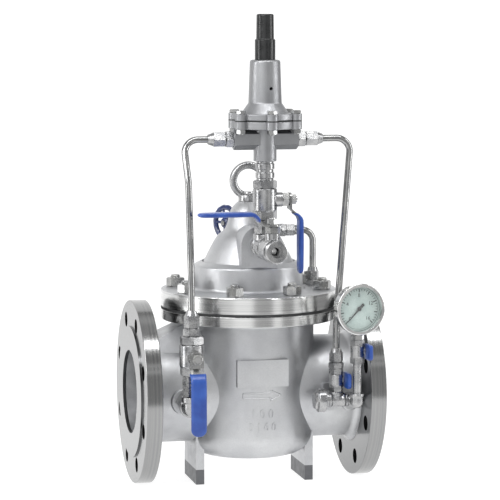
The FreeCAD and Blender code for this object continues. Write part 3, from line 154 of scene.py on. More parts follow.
# ================================================================ metals
def casting_zones(tree, place):
    """Masks of the casting's turned finish and of its painted shade, and the way that the lathe's tool took
    over it.

    Each mask is 1 inside its zone: the pipe flanges, their faces inside the edge, the cover
    joint's rims, the feet, and the pilot above the cover. The tool's way is along X on a
    flange's edge, outwards on its face and along Z on a rim.
    """
    x, y, z = add(tree, "SeparateXYZ", {"Vector": place}).node.outputs
    aside = add(tree, "Math", {0: x, 1: float(bonnet[0])}, operation="SUBTRACT")
    from_middle = add(tree, "Math", {0: aside}, operation="ABSOLUTE")
    distances = []
    for first, second in ((y, z), (aside, y)):
        squares = [add(tree, "Math", {0: side, 1: side}, operation="MULTIPLY")
                   for side in (first, second)]
        total = add(tree, "Math", dict(enumerate(squares)), operation="ADD")
        distances.append(add(tree, "Math", {0: total}, operation="SQRT"))
    pipe_distance, bonnet_distance = distances

    beyond = [add(tree, "Math", {0: value, 1: limit}, operation="GREATER_THAN")
              for value, limit in ((from_middle, half_length - flange_inset),
                                   (from_middle, half_length - raised_face_depth),
                                   (pipe_distance, neck_radius),
                                   (bonnet_distance, rim_radius - 0.4 * MM),
                                   (z, rim_low), (z, pilot_foot))]
    on_flange, at_face, past_neck, at_rim, above_rims, pilot = beyond
    within = [add(tree, "Math", {0: value, 1: limit}, operation="LESS_THAN")
              for value, limit in ((from_middle, half_length - flange_inset),
                                   (pipe_distance, flange_edge),
                                   (z, float(cover_high[2])), (z, foot_top))]
    between_flanges, off_edge, below_top, low_down = within

    turned_side = add(tree, "Math", {0: past_neck, 1: at_face}, operation="MAXIMUM")
    flange = add(tree, "Math", {0: on_flange, 1: turned_side}, operation="MULTIPLY")
    rim = at_rim
    for mask in (above_rims, between_flanges, below_top):
        rim = add(tree, "Math", {0: rim, 1: mask}, operation="MULTIPLY")
    foot = add(tree, "Math", {0: low_down, 1: between_flanges}, operation="MULTIPLY")

    way = 0.0
    for travelled, mask in ((x, flange), (z, rim), (pipe_distance, flange)):
        step = add(tree, "Math", {0: travelled, 1: mask}, operation="MULTIPLY")
        way = add(tree, "Math", {0: way, 1: step}, operation="ADD")
    return flange, off_edge, rim, foot, pilot, way


def cast_stainless():
    """Bead-blasted cast stainless: fine matt grit, with flanges and rims turned bright."""
    made, tree, shader, place = material("cast_stainless")
    flange, off_edge, rim, foot, pilot, way = casting_zones(tree, place)
    bright = add(tree, "Math", {0: flange, 1: rim}, operation="MAXIMUM")
    # weights of painted shade: the feet nearly fully, the pilot above the cover by half, the flange faces
    # inside the edge by 0.85
    shade_weights = [add(tree, "Math", {0: mask, 1: share}, operation="MULTIPLY")
               for mask, share in ((foot, 0.92), (pilot, 0.5), (off_edge, 0.85))]
    painted_shade = add(tree, "Math", {0: shade_weights[0], 1: shade_weights[1]}, operation="MAXIMUM")

    along = add(tree, "CombineXYZ", {"X": way})
    wide = add(tree, "TexNoise", {"Vector": along, "Scale": scale(2.2), "Detail": 1.0})
    narrow = add(tree, "TexNoise", {"Vector": along, "Scale": scale(0.5), "Detail": 1.0})
    grit = add(tree, "TexNoise", {"Vector": place, "Scale": scale(0.7), "Detail": 3.0,
                                  "Roughness": 0.6})
    skin = add(tree, "TexNoise", {"Vector": place, "Scale": scale(9.0), "Detail": 3.0})
    cloud = add(tree, "TexNoise", {"Vector": place, "Scale": scale(60.0)})

    blasted = add(tree, "Mix", {0: add(tree, "MapRange", stretched(grit, 0, 0.35)),
                                6: two_tone(tree, cloud, "#bebfc2", "#d3d4d5"),
                                7: linear("#8e9092")}, 2, data_type="RGBA")
    rim_tone = two_tone(tree, wide, "#c4c5c5", "#e2e2e1")
    # painted shade: the flanges' turned finish is a darker copy of the rim's, and their faces inside the
    # edge darken further towards #6f7071
    shaded_flange_tone = add(tree, "Mix", {0: shade_weights[2], 6: two_tone(tree, wide, "#8f9091", "#9d9d9c"),
                                    7: linear("#6f7071")}, 2, data_type="RGBA")
    tone = blasted
    turned = add(tree, "Mix", {0: flange, 6: rim_tone, 7: shaded_flange_tone}, 2, data_type="RGBA")
    # painted shade: the feet and the pilot above the cover are darkened towards #626366
    for mask, colour in ((bright, turned), (painted_shade, linear("#626366"))):
        tone = add(tree, "Mix", {0: mask, 6: tone, 7: colour}, 2, data_type="RGBA")

    rough = add(tree, "Mix", {0: bright, 2: add(tree, "MapRange", stretched(skin, 0.38, 0.52)),
                              3: add(tree, "MapRange", stretched(wide, 0.15, 0.21))})
    soft = add(tree, "Bump", {"Height": skin, "Distance": 0.25 * MM, "Strength": 0.5})
    grain = add(tree, "Bump", {"Height": grit, "Distance": 0.09 * MM, "Strength": 0.7,
                               "Normal": soft})
    thin = add(tree, "Math", {0: narrow, 1: 0.25}, operation="MULTIPLY")
    cuts = add(tree, "Math", {0: wide, 1: thin}, operation="ADD")
    lines = add(tree, "Bump", {"Height": cuts, "Distance": 0.005 * MM, "Strength": 0.5})
    normal = add(tree, "Mix", {0: bright, 4: grain, 5: lines}, 1, data_type="VECTOR")
    join(tree, shader, {"Base Color": tone, "Metallic": 1.0, "Roughness": rough,
                        "Normal": normal})
    return made


def plain_metal(name, dark, light, rough_low, rough_high, grain, depth, stretch=None,
                cloud=25.0):
    """Metal of one finish; stretch draws the grain out along an axis, as brushing does."""
    made, tree, shader, place = material(name)
    drawn = place
    if stretch is not None:
        drawn = add(tree, "Mapping", {"Vector": place, "Scale": stretch})
    fine = add(tree, "TexNoise", {"Vector": drawn, "Scale": scale(grain), "Detail": 3.0,
                                  "Roughness": 0.6})
    broad = add(tree, "TexNoise", {"Vector": place, "Scale": scale(cloud)})
    shares = [add(tree, "Math", {0: pattern, 1: share}, operation="MULTIPLY")
              for pattern, share in ((fine, 0.6), (broad, 0.4))]
    mixed = add(tree, "Math", dict(enumerate(shares)), operation="ADD")
    normal = add(tree, "Bump", {"Height": fine, "Distance": depth * MM, "Strength": 0.5})
    join(tree, shader, {"Base Color": two_tone(tree, broad, dark, light), "Metallic": 1.0,
                        "Roughness": add(tree, "MapRange", stretched(mixed, rough_low, rough_high)),
                        "Normal": normal})
    return made


def fitting_stainless():
    """Tumbled cast fittings: satin, slightly uneven, with small bright and dull patches."""
    return plain_metal("fitting_stainless", "#949597", "#b6b6b6", 0.2, 0.36, 1.4, 0.14, None, 9.0)


def machined_stainless():
    """Milled nuts, levers and stems: even satin with short tool marks."""
    return plain_metal("machined_stainless", "#929394", "#b4b4b2", 0.2, 0.34, 0.6, 0.02,
                       (1.0, 1.0, 0.25), 12.0)


def tube_stainless():
    """Drawn bright tube: smooth, with faint lines along its length."""
    return plain_metal("tube_stainless", "#8e8f90", "#aaaaa9", 0.1, 0.2, 0.5, 0.01,
                       (1.0, 1.0, 0.08), 18.0)


def spring_steel():
    """Oil-tempered spring wire: dark grey satin."""
    return plain_metal("spring_steel", "#77797c", "#9a9c9e", 0.25, 0.4, 0.6, 0.02)


def ball_chrome():
    """Chromed ball of a cock: near mirror."""
    return plain_metal("ball_chrome", "#dcdcdc", "#efefee", 0.03, 0.08, 2.0, 0.004)


def polished_stainless():
    """Pressed and polished gauge case: bright, with the faintest haze of rubbing."""
    return plain_metal("polished_stainless", "#cfd0d0", "#ececea", 0.06, 0.16, 0.8, 0.006,
                       None, 14.0)


# ================================================================ soft and painted surfaces
def diaphragm_rubber():
    """Moulded black rubber with a dull, faintly dusty skin."""
    made, tree, shader, place = material("diaphragm_rubber")
    fine = add(tree, "TexNoise", {"Vector": place, "Scale": scale(0.8), "Detail": 3.0})
    dust = add(tree, "TexNoise", {"Vector": place, "Scale": scale(14.0), "Detail": 3.0})
    normal = add(tree, "Bump", {"Height": fine, "Distance": 0.04 * MM, "Strength": 0.5})
    join(tree, shader, {"Base Color": two_tone(tree, dust, "#1a1b1c", "#2c2d2e"),
                        "Roughness": add(tree, "MapRange", stretched(fine, 0.55, 0.75)), "Normal": normal})
    return made


def blue_vinyl():
    """Dipped vinyl grip: saturated blue, half gloss, soft orange peel."""
    made, tree, shader, place = material("blue_vinyl")
    peel = add(tree, "TexNoise", {"Vector": place, "Scale": scale(2.6)})
    fine = add(tree, "TexNoise", {"Vector": place, "Scale": scale(0.5), "Detail": 3.0})
    cloud = add(tree, "TexNoise", {"Vector": place, "Scale": scale(16.0)})
    soft = add(tree, "Bump", {"Height": peel, "Distance": 0.08 * MM, "Strength": 0.5})
    normal = add(tree, "Bump", {"Height": fine, "Distance": 0.02 * MM, "Strength": 0.35,
                                "Normal": soft})
    join(tree, shader, {"Base Color": two_tone(tree, cloud, "#183a86", "#27509f"),
                        "Roughness": add(tree, "MapRange", stretched(fine, 0.28, 0.42)),
                        "Coat Weight": 0.25, "Coat Roughness": 0.2, "Normal": normal})
    return made


def blue_enamel():
    """Stove-enamelled hand wheel: deep navy gloss over a slightly rough casting."""
    made, tree, shader, place = material("blue_enamel")
    lump = add(tree, "TexNoise", {"Vector": place, "Scale": scale(3.2), "Detail": 3.0})
    cloud = add(tree, "TexNoise", {"Vector": place, "Scale": scale(10.0)})
    normal = add(tree, "Bump", {"Height": lump, "Distance": 0.12 * MM, "Strength": 0.5})
    join(tree, shader, {"Base Color": two_tone(tree, cloud, "#0f1c44", "#192c60"),
                        "Roughness": add(tree, "MapRange", stretched(lump, 0.18, 0.34)),
                        "Coat Weight": 0.6, "Coat Roughness": 0.1, "Normal": normal})
    return made


def black_plastic():
    """Moulded black cap: soft sheen with a fine spark-eroded grain."""
    made, tree, shader, place = material("black_plastic")
    grain = add(tree, "TexNoise", {"Vector": place, "Scale": scale(0.35), "Detail": 3.0})
    wear = add(tree, "TexNoise", {"Vector": place, "Scale": scale(7.0), "Detail": 3.0})
    normal = add(tree, "Bump", {"Height": grain, "Distance": 0.012 * MM, "Strength": 0.4})
    join(tree, shader, {"Base Color": two_tone(tree, wear, "#121314", "#1f2021"),
                        "Roughness": add(tree, "MapRange", stretched(wear, 0.24, 0.36)), "Normal": normal})
    return made


def gauge_glass():
    """Clear window: a thin film of reflection over what lies behind, faintly smeared."""
    made, tree, shader, place = material("gauge_glass")
    smear = add(tree, "TexNoise", {"Vector": place, "Scale": scale(12.0), "Detail": 3.0})
    join(tree, shader, {"Base Color": linear("#f4f8f7"), "Alpha": 0.05, "IOR": 1.5,
                        "Roughness": add(tree, "MapRange", stretched(smear, 0.02, 0.08))})
    made.surface_render_method = "BLENDED"
    return made


def dial_enamel():
    """Enamelled dial: pale grey-green with the faintest cloud."""
    made, tree, shader, place = material("dial_enamel")
    cloud = add(tree, "TexNoise", {"Vector": place, "Scale": scale(9.0)})
    join(tree, shader, {"Base Color": two_tone(tree, cloud, "#9fb0ac", "#b0bfbb"),
                        "Roughness": add(tree, "MapRange", stretched(cloud, 0.42, 0.55))})
    return made


def pointer_black():
    """Black paint of the pointer and the dial's print: dull, with a fine grain."""
    made, tree, shader, place = material("pointer_black")
    fine = add(tree, "TexNoise", {"Vector": place, "Scale": scale(0.6)})
    join(tree, shader, {"Base Color": two_tone(tree, fine, "#0d0e10", "#1b1c1f"),
                        "Roughness": add(tree, "MapRange", stretched(fine, 0.35, 0.5))})
    return made


makers = (cast_stainless, fitting_stainless, machined_stainless, tube_stainless, spring_steel,
          ball_chrome, polished_stainless, diaphragm_rubber, blue_vinyl, blue_enamel,
          black_plastic, gauge_glass, dial_enamel, pointer_black)
finishes = {maker.__name__: maker() for maker in makers}


# ================================================================ mesh helpers
def surface(points, ring=True, loop=False, caps=True):
    """Quads over a grid of points [along, around] as (points, faces).

    ring joins the last column to the first, loop the last row to the first, and caps
    closes the two ends of a ring.
    """
    rows, columns = points.shape[:2]
    index = np.arange(rows * columns).reshape(rows, columns)
    near = index if loop else index[:-1]
    far = np.roll(index, -1, 0) if loop else index[1:]
    if ring:
        quads = np.stack([near, np.roll(near, -1, 1), np.roll(far, -1, 1), far], -1)
    else:
        quads = np.stack([near[:, :-1], near[:, 1:], far[:, 1:], far[:, :-1]], -1)
    faces = quads.reshape(-1, 4).tolist()
    if caps and ring and not loop:
        faces += [index[0][::-1].tolist(), index[-1].tolist()]
    return points.reshape(-1, 3), faces


def stand(patch, origin, axis=Z_AXIS, across=X_AXIS):
    """The patch with its own Z along axis and its own X along across, moved to the origin given."""
    points, faces = patch
    side = np.cross(axis, across)
    return np.asarray(origin) + points @ np.stack([across, side, axis]), faces


def piece(name, patches, body, slot, replaced=(), smooth=35):
    """One object of several patches that rides on a CAD body and takes a material slot.

    It takes the place of the CAD nodes named in replaced, and edges sharper than smooth, in
    degrees, stay sharp.
    """
    points, faces, count = [], [], 0
    for patch_points, patch_faces in patches:
        points.append(patch_points)
        faces += [[corner + count for corner in face] for face in patch_faces]
        count += len(patch_points)
    mesh = bpy.data.meshes.new(name)
    mesh.from_pydata(np.concatenate(points).tolist(), [], faces)
    shell = bmesh.new()
    shell.from_mesh(mesh)
    bmesh.ops.recalc_face_normals(shell, faces=shell.faces)
    shell.to_mesh(mesh)
    shell.free()
    mesh.materials.append(finishes[slot])
    made = bpy.data.objects.new(name, mesh)
    bpy.context.scene.collection.objects.link(made)
    mesh.shade_smooth()
    mesh.set_sharp_from_angle(angle=math.radians(smooth))
    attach(made, body)
    if replaced:
        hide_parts(*replaced)


def revolved(profile, steps=64, loop=False):
    """Profile of (radius, height) turned about Z: (r cos a, r sin a, h)."""
    radius, height = np.array(profile, float).T[:, :, None]
    angle = np.linspace(0, 2 * np.pi, steps, endpoint=False)[None, :]
    return surface(np.stack(np.broadcast_arrays(radius * np.cos(angle), radius * np.sin(angle),
                                                height), -1), loop=loop)


def hex_nut(size, height, chamfer=0.95, steps=96):
    """Chamfered hexagon: r(a, d) = min(half size / cos(a within a side), chamfer cone at depth d)."""
    angle = np.linspace(0, 2 * np.pi, steps, endpoint=False)[None, :]
    flat = size / 2 / np.cos((angle % (np.pi / 3)) - np.pi / 6)
    corner = (size / 2) / math.cos(math.pi / 6)
    reach = (corner - chamfer * size / 2) * math.tan(math.radians(30))
    edge = np.linspace(0, reach, 7)
    level = np.concatenate([edge, height - edge[::-1]])[:, None]
    depth = np.minimum(level, height - level)
    cone = chamfer * size / 2 + depth / math.tan(math.radians(30))
    radius = np.minimum(flat, cone)
    return surface(np.stack(np.broadcast_arrays(radius * np.cos(angle), radius * np.sin(angle),
                                                level), -1))


def threaded(radius, low, high, pitch, depth, steps=40, per_turn=8, dome=0.0):
    """Threaded rod: r(a, h) = radius - depth * |2 frac(h / pitch - a / 2 pi) - 1|, domed at the top."""
    rows = max(4, int((high - low) / pitch * per_turn))
    height = np.linspace(low, high, rows)[:, None]
    angle = np.linspace(0, 2 * np.pi, steps, endpoint=False)[None, :]
    phase = (height / pitch - angle / (2 * np.pi)) % 1
    cut = depth * np.abs(2 * phase - 1)
    end = np.clip((high - height) / pitch, 0, 1)
    radius_here = radius - cut * end - (1 - end) * depth
    grid = np.stack(np.broadcast_arrays(radius_here * np.cos(angle), radius_here * np.sin(angle),
                                        height), -1)
    if dome:
        tops = [grid]
        for share in (0.75, 0.4, 0.1):
            last = grid[-1] * [share, share, 1]
            last[:, 2] = high + dome * (1 - share ** 2)
            tops.append(last[None])
        grid = np.concatenate(tops)
    return surface(grid)


def bead(path, normals, radius, steps=10):
    """Round bead along a closed path on a surface: p + radius (cos a side + sin a normal)."""
    ahead = np.roll(path, -1, 0) - np.roll(path, 1, 0)
    ahead /= np.linalg.norm(ahead, axis=1, keepdims=True)
    side = np.cross(ahead, normals)
    angle = np.linspace(0, 2 * np.pi, steps, endpoint=False)
    grid = (path[:, None] + radius * (np.cos(angle)[None, :, None] * side[:, None]
                                      + np.sin(angle)[None, :, None] * normals[:, None]))
    return surface(grid, loop=True)


def along_corners(corners, spacing, rounding):
    """Closed path through the corners given, sampled evenly and softened near the corners."""
    corners = np.array(corners, float)
    runs = np.roll(corners, -1, 0) - corners
    samples = [corner + run * np.linspace(0, 1, max(2, int(np.linalg.norm(run) / spacing)),
                                          endpoint=False)[:, None]
               for corner, run in zip(corners, runs)]
    path = np.concatenate(samples)
    for _ in range(rounding):
        path = (np.roll(path, 1, 0) + 2 * path + np.roll(path, -1, 0)) / 4
    return path


def barrel_front():
    """Heights from the pipe axis, and the barrel's radius at each, read off the CAD body.

    A ray is shot level from the front at each height, along the plane through the bonnet.
    """
    heights = np.linspace(-60 * MM, 40 * MM, 41)
    shape = nodes["main_body"]
    radii = []
    for height in heights:
        start = [float(bonnet[0]), float(body_low[1]) - 1.0, float(height)]
        hit, place = shape.ray_cast(start, [0, 1, 0])[:2]
        radii.append(-place[1] if hit else barrel_radius)
    return heights, np.array(radii)


def on_barrel(front, flat_points):
    """Points (x, z) from the bonnet axis laid on the barrel's front, with their normals.

    At radius r a point goes to (x, -sqrt(r^2 - x^2), z), and its normal is that over r.
    """
    x, z = flat_points.T
    radius = np.interp(z, *front)
    outward = np.stack([x, -np.sqrt(radius ** 2 - x ** 2), np.zeros_like(x)], -1) / radius[:, None]
    return bonnet + outward * radius[:, None] + z[:, None] * Z_AXIS, outward


def lettering(text, size, thickness):
    """Mesh of plain figures in the XY plane, centred, thickness deep in Z."""
    curve = bpy.data.curves.new("figures", "FONT")
    curve.body = text
    curve.size = size
    curve.extrude = thickness / 2
    curve.align_x = "CENTER"
    curve.align_y = "CENTER"
    curve.resolution_u = 4
    holder = bpy.data.objects.new("figures", curve)
    bpy.context.scene.collection.objects.link(holder)
    bpy.context.view_layer.update()
    mesh = bpy.data.meshes.new_from_object(holder.evaluated_get(bpy.context.evaluated_depsgraph_get()))
    points = np.empty(3 * len(mesh.vertices), np.float32)
    mesh.vertices.foreach_get("co", points)
    points = points.reshape(-1, 3).astype(float)
    faces = [list(polygon.vertices) for polygon in mesh.polygons]
    bpy.data.objects.remove(holder)
    bpy.data.curves.remove(curve)
    bpy.data.meshes.remove(mesh)
    return points, faces


# ================================================================ finishes of the CAD pieces
for part in frame["record"]["subparts"]:
    carried = nodes[part["node"]]
    carried.data.materials.clear()
    carried.data.materials.append(finishes[part["material_slot"]])


# ================================================================ cover studs and nuts
def cover_fasteners():
    """Eight threaded studs with chamfered nuts round the cover's flange."""
    low, high = span("cover_fasteners")
    studs, circle, radius, pitch = 8, 90 * MM, 6 * MM, 1.75 * MM
    nut_size, nut_height, proud = 19 * MM, 11 * MM, 4 * MM
    chamfer, dome, thread_depth = 0.6 * MM, 0.8 * MM, 0.9 * MM
    nut_foot = high[2] - proud - nut_height
    shank = revolved([(radius - chamfer, low[2]), (radius, low[2] + dome),
                      (radius, nut_foot + nut_height / 2)], 40)
    thread = threaded(radius, nut_foot + nut_height / 2, high[2] - dome, pitch, thread_depth,
                      dome=dome)
    nut = hex_nut(nut_size, nut_height)
    patches = []
    for number in range(studs):
        angle = math.radians(360 / studs * (number + 0.5))
        at = bonnet + circle * np.array([math.cos(angle), math.sin(angle), 0])
        twist = math.radians(17 * number)
        across = np.array([math.cos(twist), math.sin(twist), 0])
        patches += [stand(shank, at, across=across), stand(thread, at, across=across),
                    stand(nut, at + nut_foot * Z_AXIS, across=across)]
    piece("cover_studs_and_nuts", patches, "valve_body", "machined_stainless", ["cover_fasteners"])


# ================================================================ pilot bolts
def pilot_bolts():
    """Six hexagon bolts with nuts that clamp the pilot's diaphragm."""
    low, high = span("pilot_bolts")
    axis = middle("pilot_spring_housing") * [1, 1, 0]
    bolts, circle, radius, size, head = 6, 37.5 * MM, 3 * MM, 10 * MM, 4 * MM
    nut_height, proud = 5 * MM, 1 * MM
    head_foot = high[2] - head
    shank = revolved([(radius, low[2]), (radius, head_foot)], 32)
    bolt_head = hex_nut(size, head)
    nut = hex_nut(size, nut_height)
    dish = revolved([(3.9 * MM, head - 0.02 * MM), (3.6 * MM, head + 0.12 * MM),
                     (1.0 * MM, head + 0.16 * MM)], 32)
    patches = []
    for number in range(bolts):
        angle = math.radians(360 / bolts * (number + 0.5))
        at = axis + circle * np.array([math.cos(angle), math.sin(angle), 0])
        twist = math.radians(23 * number)
        across = np.array([math.cos(twist), math.sin(twist), 0])
        patches += [stand(shank, at, across=across),
                    stand(bolt_head, at + head_foot * Z_AXIS, across=across),
                    stand(dish, at + head_foot * Z_AXIS, across=across),
                    stand(nut, at + (low[2] + proud) * Z_AXIS, across=across)]
    piece("pilot_bolts_and_nuts", patches, "valve_body", "machined_stainless", ["pilot_bolts"])


# ================================================================ vinyl grips
def grip(cock, lever_way, stem_way):
    """Dipped grip on a lever: a rounded oblong section carried along the lever.

    Near the tip the half width falls as sqrt(1 - u^2.4) and the half thickness as
    sqrt(1 - u^3.2), u being the share of the tip's length. A band with a rolled lip closes
    the mouth, and the centre line eases inwards by a soft ramp where the lever is cranked.
    """
    half_thick, tip_share, squareness = 3.0 * MM, 0.95, 0.42
    band_end, band_fade, slimmer = 3.2 * MM, 0.22 * MM, 0.045
    lip_length, lip_depth, swell_height = 0.6 * MM, 0.7 * MM, 0.35 * MM
    crank_run, crank_ease = 6 * MM, 1.2 * MM
    slot_half_thick = 1.55 * MM
    low, high = span(cock + "_grip")
    lever_way, stem_way = np.array(lever_way, float), np.array(stem_way, float)
    side_way = np.cross(lever_way, stem_way)
    corners = np.stack([low, high])
    reach = np.sort(corners @ lever_way)
    depth = np.sort(corners @ stem_way)
    side = np.sort(corners @ side_way)
    length = reach[1] - reach[0]
    half_width = (side[1] - side[0]) / 2
    crank = (depth[1] - depth[0]) - 2 * half_thick

    turn = np.linspace(0, np.pi / 2, 14)
    tip = tip_share * half_width
    travel = np.concatenate([[0.0, 0.15, 0.6, 1.6, 2.6, 3.0, 3.3, 3.7, 4.3],
                             np.arange(5.5, 60, 3.0)]) * MM
    travel = np.concatenate([travel[travel < length - tip - 1 * MM],
                             length - tip + tip * np.sin(turn)])
    share = np.clip((travel - (length - tip)) / tip, 0, 1)
    band = 1 / (1 + np.exp((travel - band_end) / band_fade))
    lip = np.clip(travel / lip_length, 0, 1) ** 0.5
    body_scale = 1 - slimmer + slimmer * band
    width = half_width * body_scale * np.sqrt(np.clip(1 - share ** 2.4, 0.0004, 1))
    thick = half_thick * (0.9 + 0.1 * band) * np.sqrt(np.clip(1 - share ** 3.2, 0.004, 1))
    width -= (1 - lip) * lip_depth
    thick -= (1 - lip) * lip_depth
    swell = swell_height * np.sin(np.pi * np.clip(travel / length, 0, 1)) ** 2
    thick = thick + swell * (1 - band) * (1 - share)
    ease = np.log1p(np.exp((crank_run - travel) / crank_ease))
    inwards = np.minimum(crank / crank_run * crank_ease * ease, crank)

    angle = np.linspace(0, 2 * np.pi, 56, endpoint=False)
    across = np.sign(np.cos(angle)) * np.abs(np.cos(angle)) ** squareness
    upward = np.sign(np.sin(angle)) * np.abs(np.sin(angle)) ** (squareness + 0.2)
    centre = ((side[0] + side[1]) / 2 * side_way
              + (reach[0] + travel)[:, None] * lever_way
              + (depth[1] - half_thick - inwards)[:, None] * stem_way)
    grid = (centre[:, None] + (width[:, None] * across)[..., None] * side_way
            + (thick[:, None] * upward)[..., None] * stem_way)
    mouth = []
    for inset, share_in in ((0.2 * MM, 0.86), (1.8 * MM, 0.84)):
        ring = centre[0] + (half_width * share_in * across)[:, None] * side_way
        ring = ring + (slot_half_thick * upward)[:, None] * stem_way + inset * lever_way
        mouth.insert(0, ring[None])
    grid = np.concatenate(mouth + [grid])
    piece(cock + "_vinyl_grip", [surface(grid)], cock, "blue_vinyl", [cock + "_grip"], smooth=60)


# ================================================================ hand wheel
def hand_wheel():
    """Enamelled hand wheel: a scalloped rim, five tapered spokes and a stepped hub.

    The rim is a round bar whose outer side dips 15 times a turn by a squared cosine, and a
    spoke is an oval bar that thins by a half sine between hub and rim.
    """
    low, high = span("handwheel")
    tilt = math.radians(30)
    axis = np.array([-math.cos(tilt), -math.sin(tilt), 0])
    centre = (low + high) / 2
    spokes, scallops, radius, thickness = 5, 15, 19 * MM, 3.4 * MM
    hub_start, spoke_width, spoke_thick = 4 * MM, 2.6 * MM, 1.9 * MM
    sweep = np.linspace(0, 2 * np.pi, 180, endpoint=False)[:, None]
    round_bar = np.linspace(0, 2 * np.pi, 28, endpoint=False)[None, :]
    scallop = 1 - 0.16 * (0.5 + 0.5 * np.cos(scallops * sweep)) ** 2 * np.clip(np.cos(round_bar), 0, 1)
    out = radius + thickness * scallop * np.cos(round_bar)
    rim = surface(np.stack(np.broadcast_arrays(out * np.cos(sweep), out * np.sin(sweep),
                                               thickness * 0.94 * np.sin(round_bar)), -1), loop=True)
    reach = np.linspace(hub_start, radius, 12)[:, None]
    taper = 1 - 0.35 * np.sin(np.pi * (reach - hub_start) / (radius - hub_start))
    spoke = surface(np.stack(np.broadcast_arrays(reach, spoke_width * taper * np.cos(round_bar),
                                                 spoke_thick * taper * np.sin(round_bar)), -1))
    hub = revolved([(3.1 * MM, -5 * MM), (5.4 * MM, -5 * MM), (6.2 * MM, -4.4 * MM), (6.5 * MM, -3 * MM),
                    (6.5 * MM, 2 * MM), (6.1 * MM, 3.4 * MM), (5.2 * MM, 4 * MM), (3.1 * MM, 4 * MM)])
    patches = [stand(rim, centre, axis, Z_AXIS), stand(hub, centre, axis, Z_AXIS)]
    for number in range(spokes):
        angle = math.radians(90 + 360 / spokes * number)
        way = math.cos(angle) * Z_AXIS + math.sin(angle) * np.cross(axis, Z_AXIS)
        patches.append(stand(spoke, centre, axis, way))
    piece("enamelled_hand_wheel", patches, "handwheel", "blue_enamel", ["handwheel"], smooth=60)


# ================================================================ lifting eye
def lifting_eye():
    """Forged eye: an oval-section ring that runs into a collar through a flared neck.

    The ring's section is |cos|^0.86, |sin|^0.86 times the bar, and the neck's flare is a
    quarter circle between the collar's top and the neck.
    """
    ring_radius, bar = 18.5 * MM, 4.6 * MM
    level = span("lifting_eye")[1][2] - ring_radius - bar
    collar_foot = cover_high[2]
    sweep = np.linspace(0, 2 * np.pi, 96, endpoint=False)[:, None]
    around = np.linspace(0, 2 * np.pi, 32, endpoint=False)[None, :]
    power = 0.86
    inward = np.sign(np.cos(around)) * np.abs(np.cos(around)) ** power * bar
    aside = np.sign(np.sin(around)) * np.abs(np.sin(around)) ** power * bar
    out = ring_radius + inward
    ring = surface(np.stack(np.broadcast_arrays(out * np.cos(sweep), aside, out * np.sin(sweep)), -1),
                   loop=True)
    neck_radius, collar_height, fillet = 6.4 * MM, 8 * MM, 3.6 * MM
    flare = [(neck_radius + fillet * (1 - math.sin(a)), collar_height + fillet * (1 - math.cos(a)))
             for a in np.linspace(0, np.pi / 2, 8)]
    neck = revolved([(5 * MM, -13 * MM), (5 * MM, 0), (11.4 * MM, 0), (12 * MM, 0.6 * MM),
                     (12 * MM, 6.4 * MM), (11.5 * MM, 7.6 * MM),
                     (10.6 * MM, collar_height)] + flare, 72)
    piece("forged_lifting_eye",
          [stand(ring, bonnet + level * Z_AXIS), stand(neck, bonnet + collar_foot * Z_AXIS)],
          "valve_body", "fitting_stainless", ["lifting_eye"], smooth=40)


# ================================================================ gauge print
def dial_plane():
    """The gauge's outward direction, its level direction and the middle of its dial."""
    yaw = math.radians(9)
    return (np.array([math.sin(yaw), -math.cos(yaw), 0]), np.array([math.cos(yaw), math.sin(yaw), 0]),
            middle("gauge_dial"))


def gauge_print():
    """Scale of the dial: a ring, ticks over three quarters of a turn, and plain figures."""
    low, high = span("gauge_dial")
    radius = (high[2] - low[2]) / 2
    face, across, centre = dial_plane()
    dial_front, thick = 0.4 * MM, 0.12 * MM
    tick_inset, figure_inset, figure_size = 3.4 * MM, 11.2 * MM, 6.2 * MM
    centre = centre + face * dial_front
    patches = []
    start, sweep, parts, highest = 225.0, 270.0, 32, 16
    for number in range(parts + 1):
        angle = math.radians(start - sweep * number / parts)
        major = number % 4 == 0
        length, width = (4.2 * MM, 0.55 * MM) if major else (2.4 * MM, 0.28 * MM)
        outer = radius - tick_inset
        box = np.array([[[outer - length, -width, 0], [outer - length, width, 0],
                         [outer - length, width, thick], [outer - length, -width, thick]],
                        [[outer, -width, 0], [outer, width, 0],
                         [outer, width, thick], [outer, -width, thick]]])
        turned = np.array([[math.cos(angle), math.sin(angle), 0],
                           [-math.sin(angle), math.cos(angle), 0], [0, 0, 1]])
        patches.append(surface(box @ turned))
        if number % 8 == 0:
            points, faces = lettering(str(highest * number // parts), figure_size, thick)
            at = (radius - figure_inset) * np.array([math.cos(angle), math.sin(angle), 0])
            patches.append((points + at + thick / 2 * Z_AXIS, faces))
    for ring_radius, width in ((radius - 3.2 * MM, 0.25 * MM), (radius - 1.0 * MM, 0.45 * MM)):
        patches.append(revolved([(ring_radius - width, 0), (ring_radius, 0), (ring_radius, thick),
                                 (ring_radius - width, thick)], 96, loop=True))
    piece("gauge_scale", [stand(patch, centre, face, across) for patch in patches],
          "valve_body", "pointer_black")


# ================================================================ gauge pointer
def pointer():
    """Pointer: a long blade that tapers to its point, a short broad tail and a domed hub.

    The blade's half width is read along its length from tail to point, on a flat section.
    """
    face, across, centre = dial_plane()
    along = np.array([-8.0, -7.6, -2.4, -1.2, 0.0, 4.0, 12.0, 21.0]) * MM
    half_width = np.array([1.3, 1.6, 1.5, 1.1, 1.1, 0.9, 0.6, 0.25]) * MM
    corners = np.array([[-1.0, 0.0], [1.0, 0.0], [1.0, 1.0], [-1.0, 1.0]])
    blade = np.stack(np.broadcast_arrays(along[:, None], half_width[:, None] * corners[:, 0],
                                         1.2 * MM + 0.7 * MM * corners[:, 1]), -1)
    angle = math.radians(225)
    way = math.cos(angle) * across + math.sin(angle) * np.cross(face, across)
    hub = revolved([(1.0 * MM, -8.4 * MM), (1.0 * MM, 0.9 * MM), (2.6 * MM, 0.9 * MM), (2.6 * MM, 2.0 * MM),
                    (2.2 * MM, 2.3 * MM), (1.2 * MM, 2.4 * MM)], 32)
    piece("painted_pointer", [stand(surface(blade), centre, face, way),
                              stand(hub, centre, face, across)],
          "pointer", "pointer_black", ["gauge_pointer"])


